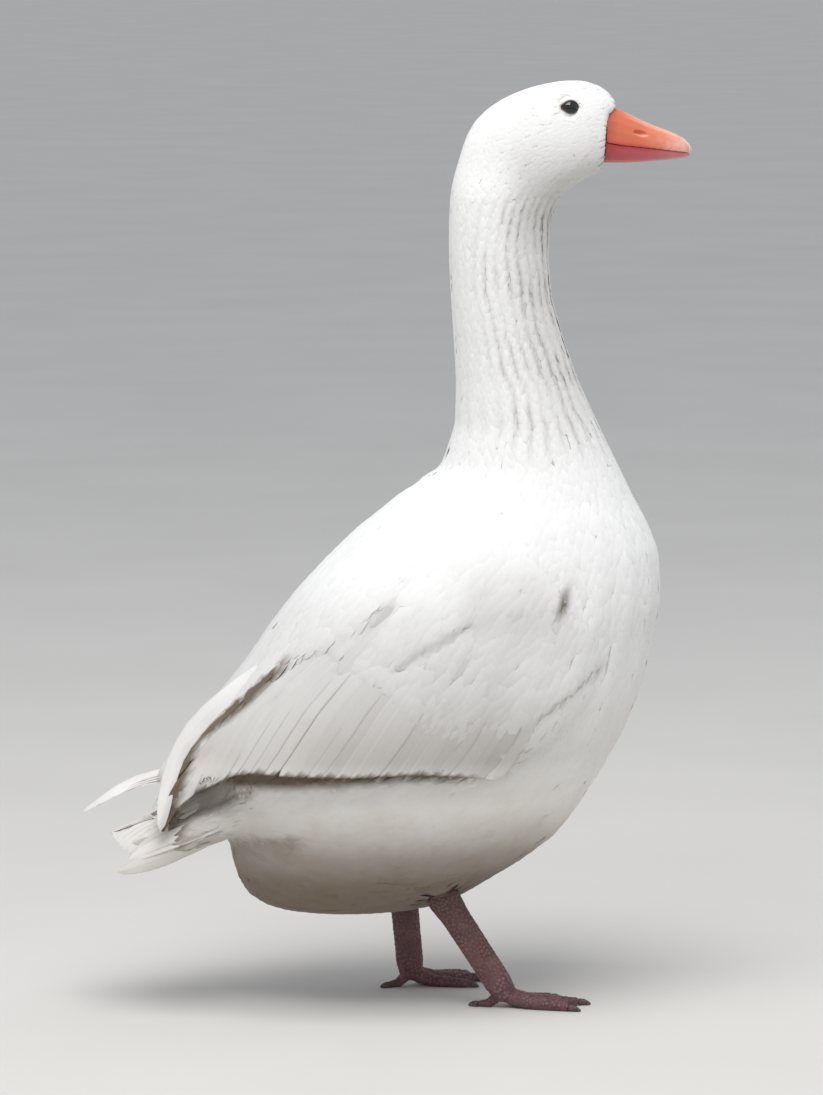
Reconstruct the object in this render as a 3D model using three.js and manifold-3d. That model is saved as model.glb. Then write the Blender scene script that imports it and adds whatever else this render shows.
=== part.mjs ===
// A white domestic goose, standing alert, as a still life-size model.
// Millimetres. +X runs to the bill, +Y to the bird's left, +Z up, and the floor is z = 0.
// The feathered bird is one loft of level slices, parted with thin cuts into trunk, neck and head.
// The folded wings, tail, bill, eyes, legs, feet and claws are solids of their own around it.
import * as THREE from "three";
import { mergeVertices } from "three/addons/utils/BufferGeometryUtils.js";
import Module from "manifold-3d";

const wasm = await Module();
wasm.setup();

const GAP = 0.4; // air between two neighbouring solids
const GROWN = 0.6; // a solid that cuts its neighbour is this much fatter, for the same air
const RIGHT = -1; // the sides of the bird, as the sign of y
const LEFT = 1;
const SIDES = [
  ["right", RIGHT],
  ["left", LEFT],
];

// The outline of the bird's body in level slices, from the keel of the belly to the crown:
// height, x of the back, x of the front, and half the width.
const BODY = [
  { part: "belly", z: 73, back: -92, front: -46, half: 14 },
  { part: "belly", z: 74.5, back: -112, front: -22, half: 25 },
  { part: "belly", z: 78, back: -134, front: 0, half: 37 },
  { part: "belly", z: 86, back: -152, front: 20, half: 50 },
  { part: "belly", z: 97, back: -162, front: 38, half: 64 },
  { part: "belly", z: 112, back: -168, front: 63, half: 77 },
  { part: "vent", z: 128, back: -171, front: 89, half: 87 },
  { part: "vent", z: 155, back: -178, front: 111, half: 97 },
  { part: "rump", z: 185, back: -187, front: 131, half: 104 },
  { part: "rump", z: 212, back: -183, front: 147, half: 107 },
  { part: "back", z: 250, back: -163, front: 163, half: 110 },
  { part: "back", z: 290, back: -136, front: 174, half: 109 },
  { part: "breast", z: 325, back: -112, front: 181, half: 105 },
  { part: "breast", z: 357, back: -86, front: 180.5, half: 97 },
  { part: "shoulders", z: 385, back: -58, front: 171, half: 86 },
  { part: "shoulders", z: 408, back: -28, front: 158.5, half: 72 },
  { part: "neck base", z: 427, back: -4, front: 149, half: 62 },
  { part: "neck base", z: 450, back: 10, front: 138, half: 54 },
  { part: "neck", z: 486, back: 14, front: 120, half: 46 },
  { part: "neck", z: 530, back: 12, front: 102.5, half: 40 },
  { part: "neck", z: 575, back: 9, front: 90.5, half: 36.5 },
  { part: "neck", z: 612, back: 7.3, front: 88, half: 34.5 },
  { part: "throat", z: 643, back: 8, front: 94, half: 33 },
  { part: "throat", z: 656, back: 9.5, front: 105, half: 32 },
  { part: "jaw", z: 668, back: 12, front: 127, half: 31 },
  { part: "jaw", z: 678, back: 15, front: 141, half: 30.5 },
  { part: "cheek", z: 694, back: 20, front: 147, half: 30 },
  { part: "cheek", z: 708, back: 27, front: 148.5, half: 28.5 },
  { part: "brow", z: 721, back: 40, front: 145.5, half: 25.5 },
  { part: "crown", z: 732, back: 60, front: 138, half: 20.5 },
  { part: "crown", z: 738, back: 78, front: 129.5, half: 14.5 },
  { part: "crown", z: 742, back: 98, front: 117, half: 4.5 },
];
// Where a slice is widest, from 0 at its back to 1 at its front, and how blunt its round is: 2 is an ellipse.
const WIDEST = [[73, 0.5], [200, 0.56], [350, 0.52], [450, 0.5], [640, 0.5], [700, 0.52], [742, 0.5]];
const BLUNT = [[73, 2], [250, 2.1], [450, 2], [645, 2], [690, 2.1], [725, 2.1], [742, 2]];
// The rise from one slice to the next: small where the form turns fast.
const RISE = [
  [73, 1.5], [80, 7], [100, 14], [150, 28], [390, 22], [450, 34], [600, 32], [650, 11], [710, 9], [738, 3],
];
// How many flats stand for each round form.
const SLICE_POINTS = 24;
const TAIL_POINTS = 20;
const BLADE_POINTS = 12;
const BLANK_POINTS = 16;
const THIGH_POINTS = 14;
const SHANK_POINTS = 12;
const TOE_POINTS = 8;
const CLAW_POINTS = 6;
const EYE_GRID = [12, 8];
const NOSTRIL_GRID = [10, 6];

// The cuts that part the body, each from a point on its back to one on its front, as [x, z].
const NECK_BASE = [[-6, 432], [152, 404]];
const HEAD_BASE = [[12, 676], [96, 641]];
const BILL_BASE = [[131, 674], [133.5, 722]];
// Feathers run forward over the root of the bill in a round tongue.
const FOREHEAD = { x: 132, long: 13, half: 15, low: 706, high: 750 };

// The folded wings lie on the body as a shell: how far their back reaches and how thick they are, by height.
const WING_BACK = [
  [136, -232], [160, -236], [186, -230], [198, -221], [220, -204], [240, -188], [256, -173], [276, -156],
  [297, -142], [322, -123], [345, -103], [369, -79], [391, -55], [408, -32], [430, -6],
];
const WING_THICK = [[136, 8], [190, 11], [250, 11], [320, 9], [370, 6.5], [408, 4.5], [430, 3.5]];
const WING_TUCK = 7; // the shell's front lies this far behind the breast, so the wrist is thin
const TERTIAL_THICK = 3.5; // the tertials lie on the wing, and stand this much prouder
const WING_REACH = 160; // further from the bird's middle than any wing
const WING_SLICES = { low: 136, high: 430, rise: 24.5 };
// Side outlines of the two parts of a folded wing, as [x, z], closed through smooth curves.
const WING_OUTLINE = [
  [84, 336], [108, 305], [112, 272], [92, 242], [58, 216], [18, 199], [-43, 203], [-110, 202], [-172, 201],
  [-203, 184], [-218, 166], [-227, 152], [-230, 154], [-223, 170], [-231, 193], [-260, 240], [-200, 320],
  [-110, 400], [-40, 440], [20, 408],
];
const TERTIAL_OUTLINE = [
  [-24, 440], [-42, 362], [-76, 322], [-116, 293], [-163, 252], [-196, 224], [-213, 190], [-223, 158],
  [-228, 158], [-223, 170], [-231, 193], [-262, 230], [-220, 320], [-110, 420],
];

// The tips of the primaries: a narrow blade from under each wing, along [x, y, z] for the right side.
const PRIMARIES = {
  right: { route: [[-150, 62, 205], [-196, 53, 190], [-220, 46, 170], [-235, 41, 149]], half: 11, thick: 3 },
  left: { route: [[-150, 56, 206], [-210, 46, 188], [-257, 36, 170.5], [-288, 30, 155]], half: 12, thick: 3.3 },
};

// The tail: a short arched fan whose sides hang lower than its middle.
const TAIL = {
  root: [-120, 182],
  tip: [-268.5, 141.5],
  rootHalf: 50,
  tipHalf: 42,
  arch: 21.5,
  roundOff: 4,
  steps: 8,
};
const TAIL_OVER = [[0, 22], [0.5, 16], [0.72, 5.5], [1, 2.2]]; // depth above the vanes: the upper tail coverts
const TAIL_UNDER = [[0, 28], [0.6, 28], [0.85, 19], [1, 3]]; // and below them: the soft undertail

// Bill, in its own frame: s along it from the feather edge, h up, y across.
const BILL = {
  origin: [133, 699.3],
  pitch: THREE.MathUtils.degToRad(-12.5),
  root: -9,
  length: 74.5,
  culmen: [
    [0, 23.5], [11, 21.8], [22, 19], [32, 16.7], [43, 14.9], [54, 13.5], [63, 11.4], [69, 8.4], [72.5, 5.6],
    [74.5, 2.6],
  ],
  mouth: [[0, -6], [9, -6], [19, -4.9], [39, -2.8], [59, -1], [74.5, 0.6]],
  chin: [[0, -23], [14, -20.4], [34, -15.5], [52, -10], [62, -7], [71, -3.6]],
  half: [[0, 18], [20, 17.1], [38, 15.6], [52, 14.4], [62, 12.8], [68, 10.2], [72, 6.4], [74.5, 1.6]],
  nail: { centre: 76.5, long: 15, wide: 7.4, high: 60 },
  nostril: { s: 27, h: 7, long: 6.5, high: 2.2, deep: 3 },
};
const LOWER_BILL = { inset: 1.4, end: 71.5 }; // the lower mandible is narrower and shorter than the upper
const EYE = { x: 100.7, y: 17.9, z: 721, radius: 8.6 };

// Legs: the hock, where the feathers end, the joint over the toes, and how far the foot turns out, in degrees.
const LEGS = {
  right: { hock: [-7, 45, 93], ankle: [43, 50, 14], turnOut: 4 },
  left: { hock: [-23, 45, 91], ankle: [-15, 50, 14], turnOut: 6 },
};
const LEG = {
  hip: [-26, 44, 142],
  hipRadius: 27,
  cuffRadius: 16,
  hockRadius: 13,
  shank: [11, 8.4],
  ankleRadius: 11.5,
};
// Toes: angle from the foot's heading towards the inside, length without the claw, and root radius.
const TOES = {
  inner: { angle: 27, length: 47, radius: 6 },
  middle: { angle: 0, length: 61, radius: 6.8 },
  outer: { angle: -24, length: 55, radius: 6.2 },
  hind: { angle: 168, length: 20, radius: 4.4 },
};
const TOE_TIP_RADIUS = 4.2;
const TOE_SINK = 1.2; // how much of a toe's round is pressed flat on the floor
const CLAW = { length: 10, radius: 3.2 };
const WEB = { low: 1.4, thick: 2.4, scallop: 0.78, curve: 7 };

const COLOURS = {
  plumage: { color: 0xf2efe8, roughness: 0.85 },
  flight: { color: 0xece7dc, roughness: 0.8 },
  bill: { color: 0xe8713a, roughness: 0.45 },
  nail: { color: 0xf0cdbd, roughness: 0.4 },
  eye: { color: 0x1a1c22, roughness: 0.1 },
  leg: { color: 0x7d534e, roughness: 0.6 },
  claw: { color: 0x8c7466, roughness: 0.5 },
};

const goose = new THREE.Group();

// ---- Curves, lofts and solids ----

// A smooth curve through [x, y] knots that never overshoots them (a monotone cubic).
function through(knots) {
  const slope = knots.slice(1).map(([x, y], i) => (y - knots[i][1]) / (x - knots[i][0]));
  const tangent = knots.map((_, i) => {
    if (i === 0) return slope[0];
    if (i === knots.length - 1) return slope[i - 1];
    if (slope[i - 1] * slope[i] <= 0) return 0;
    return (2 * slope[i - 1] * slope[i]) / (slope[i - 1] + slope[i]);
  });
  return (x) => {
    let i = 0;
    while (i < knots.length - 2 && x > knots[i + 1][0]) i += 1;
    const width = knots[i + 1][0] - knots[i][0];
    const t = THREE.MathUtils.clamp((x - knots[i][0]) / width, 0, 1);
    const near = (1 + 2 * t) * (1 - t) ** 2 * knots[i][1] + t ** 2 * (3 - 2 * t) * knots[i + 1][1];
    return near + width * (t * (1 - t) ** 2 * tangent[i] - t ** 2 * (1 - t) * tangent[i + 1]);
  };
}

// Joins rings of equally many points into one closed surface.
// Each ring turns anticlockwise about the way the loft runs.
function loft(rings) {
  const around = rings[0].length;
  const points = rings.flat();
  const faces = [];
  for (let k = 0; k < rings.length - 1; k += 1) {
    for (let i = 0; i < around; i += 1) {
      const a = k * around + i;
      const b = k * around + ((i + 1) % around);
      faces.push(a, b, b + around, a, b + around, a + around);
    }
  }
  for (const [ring, start] of [[rings[0], true], [rings.at(-1), false]]) {
    const middle = points.length;
    const first = start ? 0 : (rings.length - 1) * around;
    points.push(ring.reduce((sum, p) => sum.add(p), new THREE.Vector3()).divideScalar(around));
    for (let i = 0; i < around; i += 1) {
      const next = first + ((i + 1) % around);
      if (start) faces.push(middle, next, first + i);
      else faces.push(middle, first + i, next);
    }
  }
  const geometry = new THREE.BufferGeometry().setFromPoints(points);
  geometry.setIndex(faces);
  return geometry;
}

function solid(geometry) {
  const bare = geometry.clone();
  bare.deleteAttribute("normal");
  bare.deleteAttribute("uv");
  const merged = mergeVertices(bare, 1e-3);
  const vertProperties = new Float32Array(merged.attributes.position.array);
  const triVerts = new Uint32Array(merged.index.array);
  return new wasm.Manifold(new wasm.Mesh({ numProp: 3, vertProperties, triVerts }));
}

// What a cut leaves, without its crumbs.
function largest(made) {
  return made.decompose().reduce((best, piece) => (piece.volume() > best.volume() ? piece : best));
}

// The part of a solid above (or below) the plane through two [x, z] points, half a gap away from it.
function beyond(made, [[x1, z1], [x2, z2]], above) {
  const length = Math.hypot(x2 - x1, z2 - z1);
  const normal = [-(z2 - z1) / length, 0, (x2 - x1) / length];
  const offset = normal[0] * x1 + normal[2] * z1;
  const sign = above ? 1 : -1;
  return made.trimByPlane(normal.map((n) => n * sign), offset * sign + GAP / 2);
}

function add(name, made, finish) {
  const { vertProperties, triVerts, numProp } = largest(made).getMesh();
  const geometry = new THREE.BufferGeometry();
  geometry.setAttribute("position", new THREE.BufferAttribute(vertProperties, numProp));
  geometry.setIndex(new THREE.BufferAttribute(triVerts, 1));
  geometry.computeVertexNormals();
  const mesh = new THREE.Mesh(geometry, new THREE.MeshStandardMaterial(COLOURS[finish]));
  mesh.name = name;
  goose.add(mesh);
}

// A power that keeps its sign, for the rounds of blunt ellipses.
const signedPower = (value, power) => Math.sign(value) * Math.abs(value) ** power;

// ---- Body: trunk, neck and head ----

const column = (name) => through(BODY.map((station) => [station.z, station[name]]));
const bodyBack = column("back");
const bodyFront = column("front");
const bodyHalf = column("half");
const widestShare = through(WIDEST);
const blunt = through(BLUNT);

// One level slice: two half ovals that share their widest line.
function slice(z, back, front, half) {
  const widest = back + (front - back) * widestShare(z);
  const power = 2 / blunt(z);
  return Array.from({ length: SLICE_POINTS }, (_, i) => {
    const angle = (2 * Math.PI * i) / SLICE_POINTS;
    const reach = Math.cos(angle) > 0 ? front - widest : widest - back;
    const x = widest + reach * signedPower(Math.cos(angle), power);
    return new THREE.Vector3(x, half * signedPower(Math.sin(angle), power), z);
  });
}

function body(grown = 0) {
  const rise = through(RISE);
  const top = BODY.at(-1).z;
  const heights = [];
  for (let z = BODY[0].z; z < top - 1; z += rise(z)) heights.push(z);
  heights.push(top);
  const level = (z) => slice(z, bodyBack(z) - grown, bodyFront(z) + grown, bodyHalf(z) + grown);
  return solid(loft(heights.map(level)));
}

// ---- Wings and tail ----

const wingBack = through(WING_BACK);
const wingThick = through(WING_THICK);

function wingShell(extra) {
  const rings = [];
  for (let z = WING_SLICES.low; z <= WING_SLICES.high; z += WING_SLICES.rise) {
    const front = bodyFront(z) - WING_TUCK + extra;
    rings.push(slice(z, wingBack(z) - extra, front, bodyHalf(z) + wingThick(z) + extra));
  }
  return solid(loft(rings));
}

// A side outline, pushed out from the middle of the bird to one side. The outline runs clockwise in [x, z].
function slab(outline, side, grown) {
  const knots = outline.map(([x, z]) => new THREE.Vector3(x, z, 0));
  const curve = new THREE.CatmullRomCurve3(knots, true);
  const count = outline.length * 2;
  const points = Array.from({ length: count }, (_, i) => {
    const ahead = curve.getTangent(i / count);
    const place = curve.getPoint(i / count);
    return new THREE.Vector2(place.x - ahead.y * grown, place.y + ahead.x * grown);
  });
  const shape = new THREE.Shape(points);
  const geometry = new THREE.ExtrudeGeometry(shape, { depth: WING_REACH, steps: 1, bevelEnabled: false });
  geometry.rotateX(Math.PI / 2);
  const inner = GAP / 2 - grown;
  geometry.translate(0, side === RIGHT ? -inner : WING_REACH + inner, 0);
  return solid(geometry);
}

function tertials(side, grown = 0) {
  return slab(TERTIAL_OUTLINE, side, grown).intersect(wingShell(grown + TERTIAL_THICK));
}

function wing(side, grown = 0) {
  return slab(WING_OUTLINE, side, grown).intersect(wingShell(grown));
}

// A flat blade along a route, with a round tip.
function primaries(name, side, grown = 0) {
  const { route, half, thick } = PRIMARIES[name];
  const path = new THREE.CatmullRomCurve3(route.map(([x, y, z]) => new THREE.Vector3(x, side * y, z)));
  const rings = [0, 0.25, 0.5, 0.7, 0.85, 0.95, 1].map((t) => {
    const narrow = Math.sqrt(Math.max(0.02, 1 - t ** 3));
    const wide = half * narrow + grown;
    return tubeRing(path.getPoint(t), path.getTangent(t), wide, thick * narrow ** 0.5 + grown, BLADE_POINTS);
  });
  return solid(loft(rings));
}

// A ring across a route: wide to the side and high upwards.
function tubeRing(centre, ahead, wide, high, points) {
  const across = new THREE.Vector3(0, 0, 1).cross(ahead).normalize();
  const upwards = new THREE.Vector3().crossVectors(ahead, across);
  return Array.from({ length: points }, (_, i) => {
    const angle = (2 * Math.PI * (i + 0.5)) / points;
    return centre
      .clone()
      .addScaledVector(across, wide * Math.cos(angle))
      .addScaledVector(upwards, high * Math.sin(angle));
  });
}

function tail() {
  const { root, tip, rootHalf, tipHalf, arch, roundOff, steps } = TAIL;
  const [over, under] = [TAIL_OVER, TAIL_UNDER].map(through);
  const rings = Array.from({ length: steps + 1 }, (_, k) => {
    const t = k / steps;
    const half = THREE.MathUtils.lerp(rootHalf, tipHalf, t);
    return Array.from({ length: TAIL_POINTS }, (_, i) => {
      const angle = (2 * Math.PI * i) / TAIL_POINTS;
      const y = signedPower(Math.cos(angle), 0.8);
      const deep = Math.sin(angle) > 0 ? over(t) : under(t);
      const x = THREE.MathUtils.lerp(root[0], tip[0] + roundOff * y ** 4, t);
      const z = THREE.MathUtils.lerp(root[1], tip[1], t) - arch * t * y ** 2;
      return new THREE.Vector3(x, -half * y, z + deep * Math.sin(angle));
    });
  });
  return solid(loft(rings));
}

// ---- Bill and eyes ----

const billAlong = new THREE.Vector3(Math.cos(BILL.pitch), 0, Math.sin(BILL.pitch));
const billUp = new THREE.Vector3(-Math.sin(BILL.pitch), 0, Math.cos(BILL.pitch));
const billOrigin = new THREE.Vector3(BILL.origin[0], 0, BILL.origin[1]);
const [culmen, mouth, chin, billHalf] = [BILL.culmen, BILL.mouth, BILL.chin, BILL.half].map(through);

const inBill = (s, y, h) =>
  billOrigin.clone().addScaledVector(billAlong, s).addScaledVector(billUp, h).setComponent(1, y);

// One mandible, from the root to its end: half-oval sections on the line of the mouth, upwards or downwards.
function mandible(end, steps, edge, ridge, inset) {
  const arc = 10;
  const rings = Array.from({ length: steps + 1 }, (_, k) => {
    const s = THREE.MathUtils.lerp(BILL.root, end, Math.sin((Math.PI / 2) * (k / steps)));
    const half = Math.max(0.8, billHalf(s) - inset);
    const ring = Array.from({ length: arc + 1 }, (_, i) => {
      const angle = (Math.PI * i) / arc;
      const y = half * signedPower(Math.cos(angle), 0.82);
      return inBill(s, y, edge(s) + (ridge(s) - edge(s)) * Math.sin(angle) ** 0.9);
    });
    return ridge(s) > edge(s) ? ring : ring.reverse();
  });
  return solid(loft(rings));
}

function nailBlank(grown) {
  const { centre, long, wide, high } = BILL.nail;
  const blank = new THREE.CylinderGeometry(1, 1, high, BLANK_POINTS).rotateX(Math.PI / 2);
  blank.scale(long + grown, wide + grown, 1);
  blank.rotateY(-BILL.pitch);
  const place = inBill(centre, 0, 0);
  return solid(blank.translate(place.x, 0, place.z));
}

// The round tongue of feathers in plan, standing over the root of the bill.
function foreheadBlank() {
  const { x, long, half, low, high } = FOREHEAD;
  const blank = new THREE.CylinderGeometry(1, 1, high - low, BLANK_POINTS).rotateX(Math.PI / 2);
  return solid(blank.scale(long, half, 1).translate(x, 0, (low + high) / 2));
}

function nostrils() {
  const { s, h, long, high, deep } = BILL.nostril;
  return SIDES.map(([, side]) => {
    const place = inBill(s, side * billHalf(s) * 0.9, h);
    const hollow = new THREE.SphereGeometry(1, ...NOSTRIL_GRID).scale(long, deep, high).rotateY(-BILL.pitch);
    return solid(hollow.translate(place.x, place.y, place.z));
  });
}

function eye(side, grown = 0) {
  const ball = new THREE.SphereGeometry(EYE.radius + grown, ...EYE_GRID);
  return solid(ball.translate(EYE.x, side * EYE.y, EYE.z));
}

// ---- Legs and feet ----

// A round limb along points, each with its radii across and fore-and-aft.
function limb(stops, points) {
  const middles = stops.map(([place]) => place);
  const rings = stops.map(([place, across, fore], k) => {
    const next = middles[Math.min(k + 1, stops.length - 1)];
    const ahead = next.clone().sub(middles[Math.max(k - 1, 0)]).normalize();
    const side = new THREE.Vector3(0, 1, 0).addScaledVector(ahead, -ahead.y).normalize();
    const front = new THREE.Vector3().crossVectors(ahead, side);
    return Array.from({ length: points }, (_, i) => {
      const angle = (2 * Math.PI * (i + 0.5)) / points;
      return place
        .clone()
        .addScaledVector(side, across * Math.cos(angle))
        .addScaledVector(front, fore * Math.sin(angle));
    });
  });
  return solid(loft(rings));
}

function leg(name, side, grown = 0) {
  const place = ([x, y, z]) => new THREE.Vector3(x, side * y, z);
  const [hip, hock, ankle] = [LEG.hip, LEGS[name].hock, LEGS[name].ankle].map(place);
  const [wide, deep] = LEG.shank;
  const between = (a, b, t) => a.clone().lerp(b, t);
  const thighRoute = [
    [hip, LEG.hipRadius, LEG.hipRadius],
    [between(hip, hock, 0.5), LEG.hipRadius * 0.72, LEG.hipRadius * 0.8],
    [between(hip, hock, 0.85), LEG.cuffRadius + 2, LEG.cuffRadius + 4],
    [hock, LEG.cuffRadius - 3, LEG.cuffRadius - 2],
  ];
  const shankRoute = [
    [between(hock, ankle, -0.08), LEG.hockRadius - 3, LEG.hockRadius - 2],
    [between(hock, ankle, 0.05), LEG.hockRadius - 1, LEG.hockRadius + 0.5],
    [between(hock, ankle, 0.24), deep + 0.6, wide + 0.4],
    [between(hock, ankle, 0.7), deep, wide],
    [between(hock, ankle, 0.92), LEG.ankleRadius - 1.5, LEG.ankleRadius - 0.5],
    [between(hock, ankle, 1.06), LEG.ankleRadius - 3, LEG.ankleRadius - 2.5],
  ];
  const grow = (route) => route.map(([p, across, fore]) => [p, across + grown, fore + grown]);
  return { thigh: limb(grow(thighRoute), THIGH_POINTS), shank: limb(grow(shankRoute), SHANK_POINTS) };
}

// Where a toe points on the floor. The angle opens towards the bird's middle line.
function toeWay(name, side, toe) {
  const angle = THREE.MathUtils.degToRad(TOES[toe].angle - LEGS[name].turnOut);
  return new THREE.Vector3(Math.cos(angle), -side * Math.sin(angle), 0);
}

function toePlaces(name, side, toe) {
  const { length, radius } = TOES[toe];
  const [x, y, z] = LEGS[name].ankle;
  const start = new THREE.Vector3(x, side * y, z);
  const way = toeWay(name, side, toe);
  const floor = (far, r) => start.clone().addScaledVector(way, far).setZ(r - TOE_SINK);
  const tipRadius = toe === "hind" ? radius - 1 : TOE_TIP_RADIUS;
  return { start, way, floor, length, radius, tipRadius };
}

function toe(name, side, which) {
  const { start, floor, length, radius, tipRadius } = toePlaces(name, side, which);
  const shares = which === "hind" ? [0.6] : [0.4, 0.66];
  const stops = shares.map((share) => {
    const r = THREE.MathUtils.lerp(radius, tipRadius, share);
    return [floor(length * share, r), r, r];
  });
  stops.unshift([start.clone().setZ(start.z - 3), radius, radius]);
  stops.push([floor(length, tipRadius), tipRadius * 0.8, tipRadius * 0.8]);
  return limb(stops, TOE_POINTS);
}

function claw(name, side, which) {
  const { way, floor, length, tipRadius } = toePlaces(name, side, which);
  const reach = which === "hind" ? CLAW.length * 0.75 : CLAW.length;
  const at = (far, z) => floor(length + GAP + far, 0).setZ(z);
  const top = tipRadius - TOE_SINK;
  const stops = [
    [at(0, top), CLAW.radius, CLAW.radius * 0.9],
    [at(reach * 0.45, top - 0.2), CLAW.radius * 0.82, CLAW.radius * 0.8],
    [at(reach * 0.8, 1.7), CLAW.radius * 0.5, CLAW.radius * 0.5],
    [at(reach, 0.9), 0.7, 0.6],
  ];
  return limb(stops, CLAW_POINTS).trimByPlane([0, 0, 1], 0);
}

// The web between the three front toes, with a hollow edge between each pair.
function web(name, side) {
  const { start } = toePlaces(name, side, "middle");
  const tips = ["outer", "middle", "inner"].map((which) => {
    const { way, length } = toePlaces(name, side, which);
    return start.clone().addScaledVector(way, length * 0.97);
  });
  const heel = start.clone().addScaledVector(toeWay(name, side, "middle"), 4);
  const shape = new THREE.Shape();
  shape.moveTo(heel.x, heel.y);
  shape.lineTo(tips[0].x, tips[0].y);
  for (const k of [1, 2]) {
    const hollow = tips[k - 1].clone().lerp(tips[k], 0.5).sub(start).multiplyScalar(WEB.scallop).add(start);
    shape.quadraticCurveTo(hollow.x, hollow.y, tips[k].x, tips[k].y);
  }
  shape.closePath();
  const options = { depth: WEB.thick, bevelEnabled: false, curveSegments: WEB.curve };
  return solid(new THREE.ExtrudeGeometry(shape, options).translate(0, 0, WEB.low));
}

// ---- Assembly ----

const whole = body();
const bodyGrown = body(GROWN);
const aboveNeckBase = beyond(whole, NECK_BASE, true);
const sum = (solids) => solids.reduce((all, one) => all.add(one));
const wingsGrown = sum(SIDES.flatMap(([, side]) => [wing(side, GROWN), tertials(side, GROWN)]));
const primariesGrown = sum(SIDES.map(([name, side]) => primaries(name, side, GROWN)));

// Head, bill and eyes.
const mandibles = (grown) => [
  beyond(mandible(BILL.length + grown, 10, mouth, (s) => culmen(s) + grown, -grown), BILL_BASE, false),
  beyond(mandible(LOWER_BILL.end, 8, (s) => mouth(s) - GAP, chin, LOWER_BILL.inset), BILL_BASE, false),
];
const [upperBill, lowerBill] = mandibles(0);
const aboveHeadBase = beyond(aboveNeckBase, HEAD_BASE, true);
const tongue = aboveHeadBase.intersect(foreheadBlank()).subtract(mandibles(GROWN)[0]);
let head = beyond(aboveHeadBase, BILL_BASE, true).add(tongue);
for (const [, side] of SIDES) head = head.subtract(eye(side, GAP));
add("head", head, "plumage");
for (const [name, side] of SIDES) add(`eye_${name}`, eye(side), "eye");
add("bill_nail", upperBill.intersect(nailBlank(0)), "nail");
let upperHorn = upperBill.subtract(nailBlank(GAP));
for (const hollow of nostrils()) upperHorn = upperHorn.subtract(hollow);
add("bill_upper", upperHorn, "bill");
add("bill_lower", lowerBill, "bill");

// Neck and trunk.
add("neck", beyond(aboveNeckBase, HEAD_BASE, false), "plumage");
const thighsGrown = sum(SIDES.map(([name, side]) => leg(name, side, GROWN).thigh));
add("trunk", beyond(whole, NECK_BASE, false).subtract(thighsGrown), "plumage");

// Wings, with the tertials laid over their rear and the primaries' tips under them.
for (const [name, side] of SIDES) {
  add(`tertials_${name}`, tertials(side).subtract(bodyGrown).subtract(primariesGrown), "flight");
  const around = sum([tertials(side, GROWN), bodyGrown, primariesGrown]);
  add(`wing_${name}`, wing(side).subtract(around), "plumage");
  add(`primaries_${name}`, primaries(name, side).subtract(bodyGrown), "flight");
}
add("tail", tail().subtract(wingsGrown).subtract(primariesGrown).subtract(bodyGrown), "flight");

// Legs, feet and claws.
for (const [name, side] of SIDES) {
  const { thigh, shank } = leg(name, side);
  const shankGrown = leg(name, side, GROWN).shank;
  add(`thigh_${name}`, thigh.subtract(shankGrown), "plumage");
  let foot = web(name, side);
  for (const which of Object.keys(TOES)) foot = foot.add(toe(name, side, which));
  add(`foot_${name}`, foot.subtract(shankGrown).trimByPlane([0, 0, 1], 0), "leg");
  add(`shank_${name}`, shank.subtract(bodyGrown).trimByPlane([0, 0, 1], 2), "leg");
  for (const which of Object.keys(TOES)) add(`claw_${name}_${which}`, claw(name, side, which), "claw");
}

// The origin lies on the floor, under the middle of the whole bird.
const bounds = new THREE.Box3().setFromObject(goose);
const centre = bounds.getCenter(new THREE.Vector3());
goose.position.set(-centre.x, -centre.y, -bounds.min.z);

export default goose;
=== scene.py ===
"""A white domestic goose, standing, life size: skin, coat, flight feathers, bill, eyes and feet
built over a fixed frame of plain solids. Sizes are millimetres, and metres in the room's part."""

import itertools
import math

import bmesh
import bpy
import numpy as np
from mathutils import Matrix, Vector
from mathutils.bvhtree import BVHTree


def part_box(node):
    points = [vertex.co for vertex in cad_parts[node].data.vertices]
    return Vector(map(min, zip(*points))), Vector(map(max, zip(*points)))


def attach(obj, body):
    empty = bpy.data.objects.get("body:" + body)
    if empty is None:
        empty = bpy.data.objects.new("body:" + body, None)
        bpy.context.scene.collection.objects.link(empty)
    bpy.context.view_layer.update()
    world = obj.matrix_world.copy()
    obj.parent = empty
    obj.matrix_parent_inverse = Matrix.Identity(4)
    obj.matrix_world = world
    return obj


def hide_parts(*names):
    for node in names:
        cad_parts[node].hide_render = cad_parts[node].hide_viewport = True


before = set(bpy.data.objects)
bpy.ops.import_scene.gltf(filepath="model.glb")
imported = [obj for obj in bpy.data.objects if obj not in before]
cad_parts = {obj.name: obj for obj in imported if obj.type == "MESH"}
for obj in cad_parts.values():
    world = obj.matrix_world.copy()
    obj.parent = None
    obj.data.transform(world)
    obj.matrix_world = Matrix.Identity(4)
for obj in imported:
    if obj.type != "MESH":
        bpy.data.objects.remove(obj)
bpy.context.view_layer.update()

# ---------------------------------------------------------------------------
# The room, in metres. A plain pale floor of smooth plaster, one wide soft lamp
# overhead and an even pale surround. The visitor stands back, a little raised.
AIM = Vector((0.0182, 0.0, 0.3684))
AWAY = 4.5
SWING = math.radians(-10)
RISE = math.radians(7)
SEEN_HEIGHT = 0.881
FLOOR_REACH = 90.0
SURROUND = "#E4E8F0"
SURROUND_STRENGTH = 0.68
LAMP_PLACE = Vector((-0.35, -1.1, 3.1))
LAMP_SIZE = 2.2
LAMP_WATTS = 74.0


def linear(shade):
    """An sRGB hex colour as the linear colour that a shader works in."""
    parts = [int(shade[i : i + 2], 16) / 255 for i in (1, 3, 5)]
    return [p / 12.92 if p <= 0.04045 else ((p + 0.055) / 1.055) ** 2.4 for p in parts] + [1.0]


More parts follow.
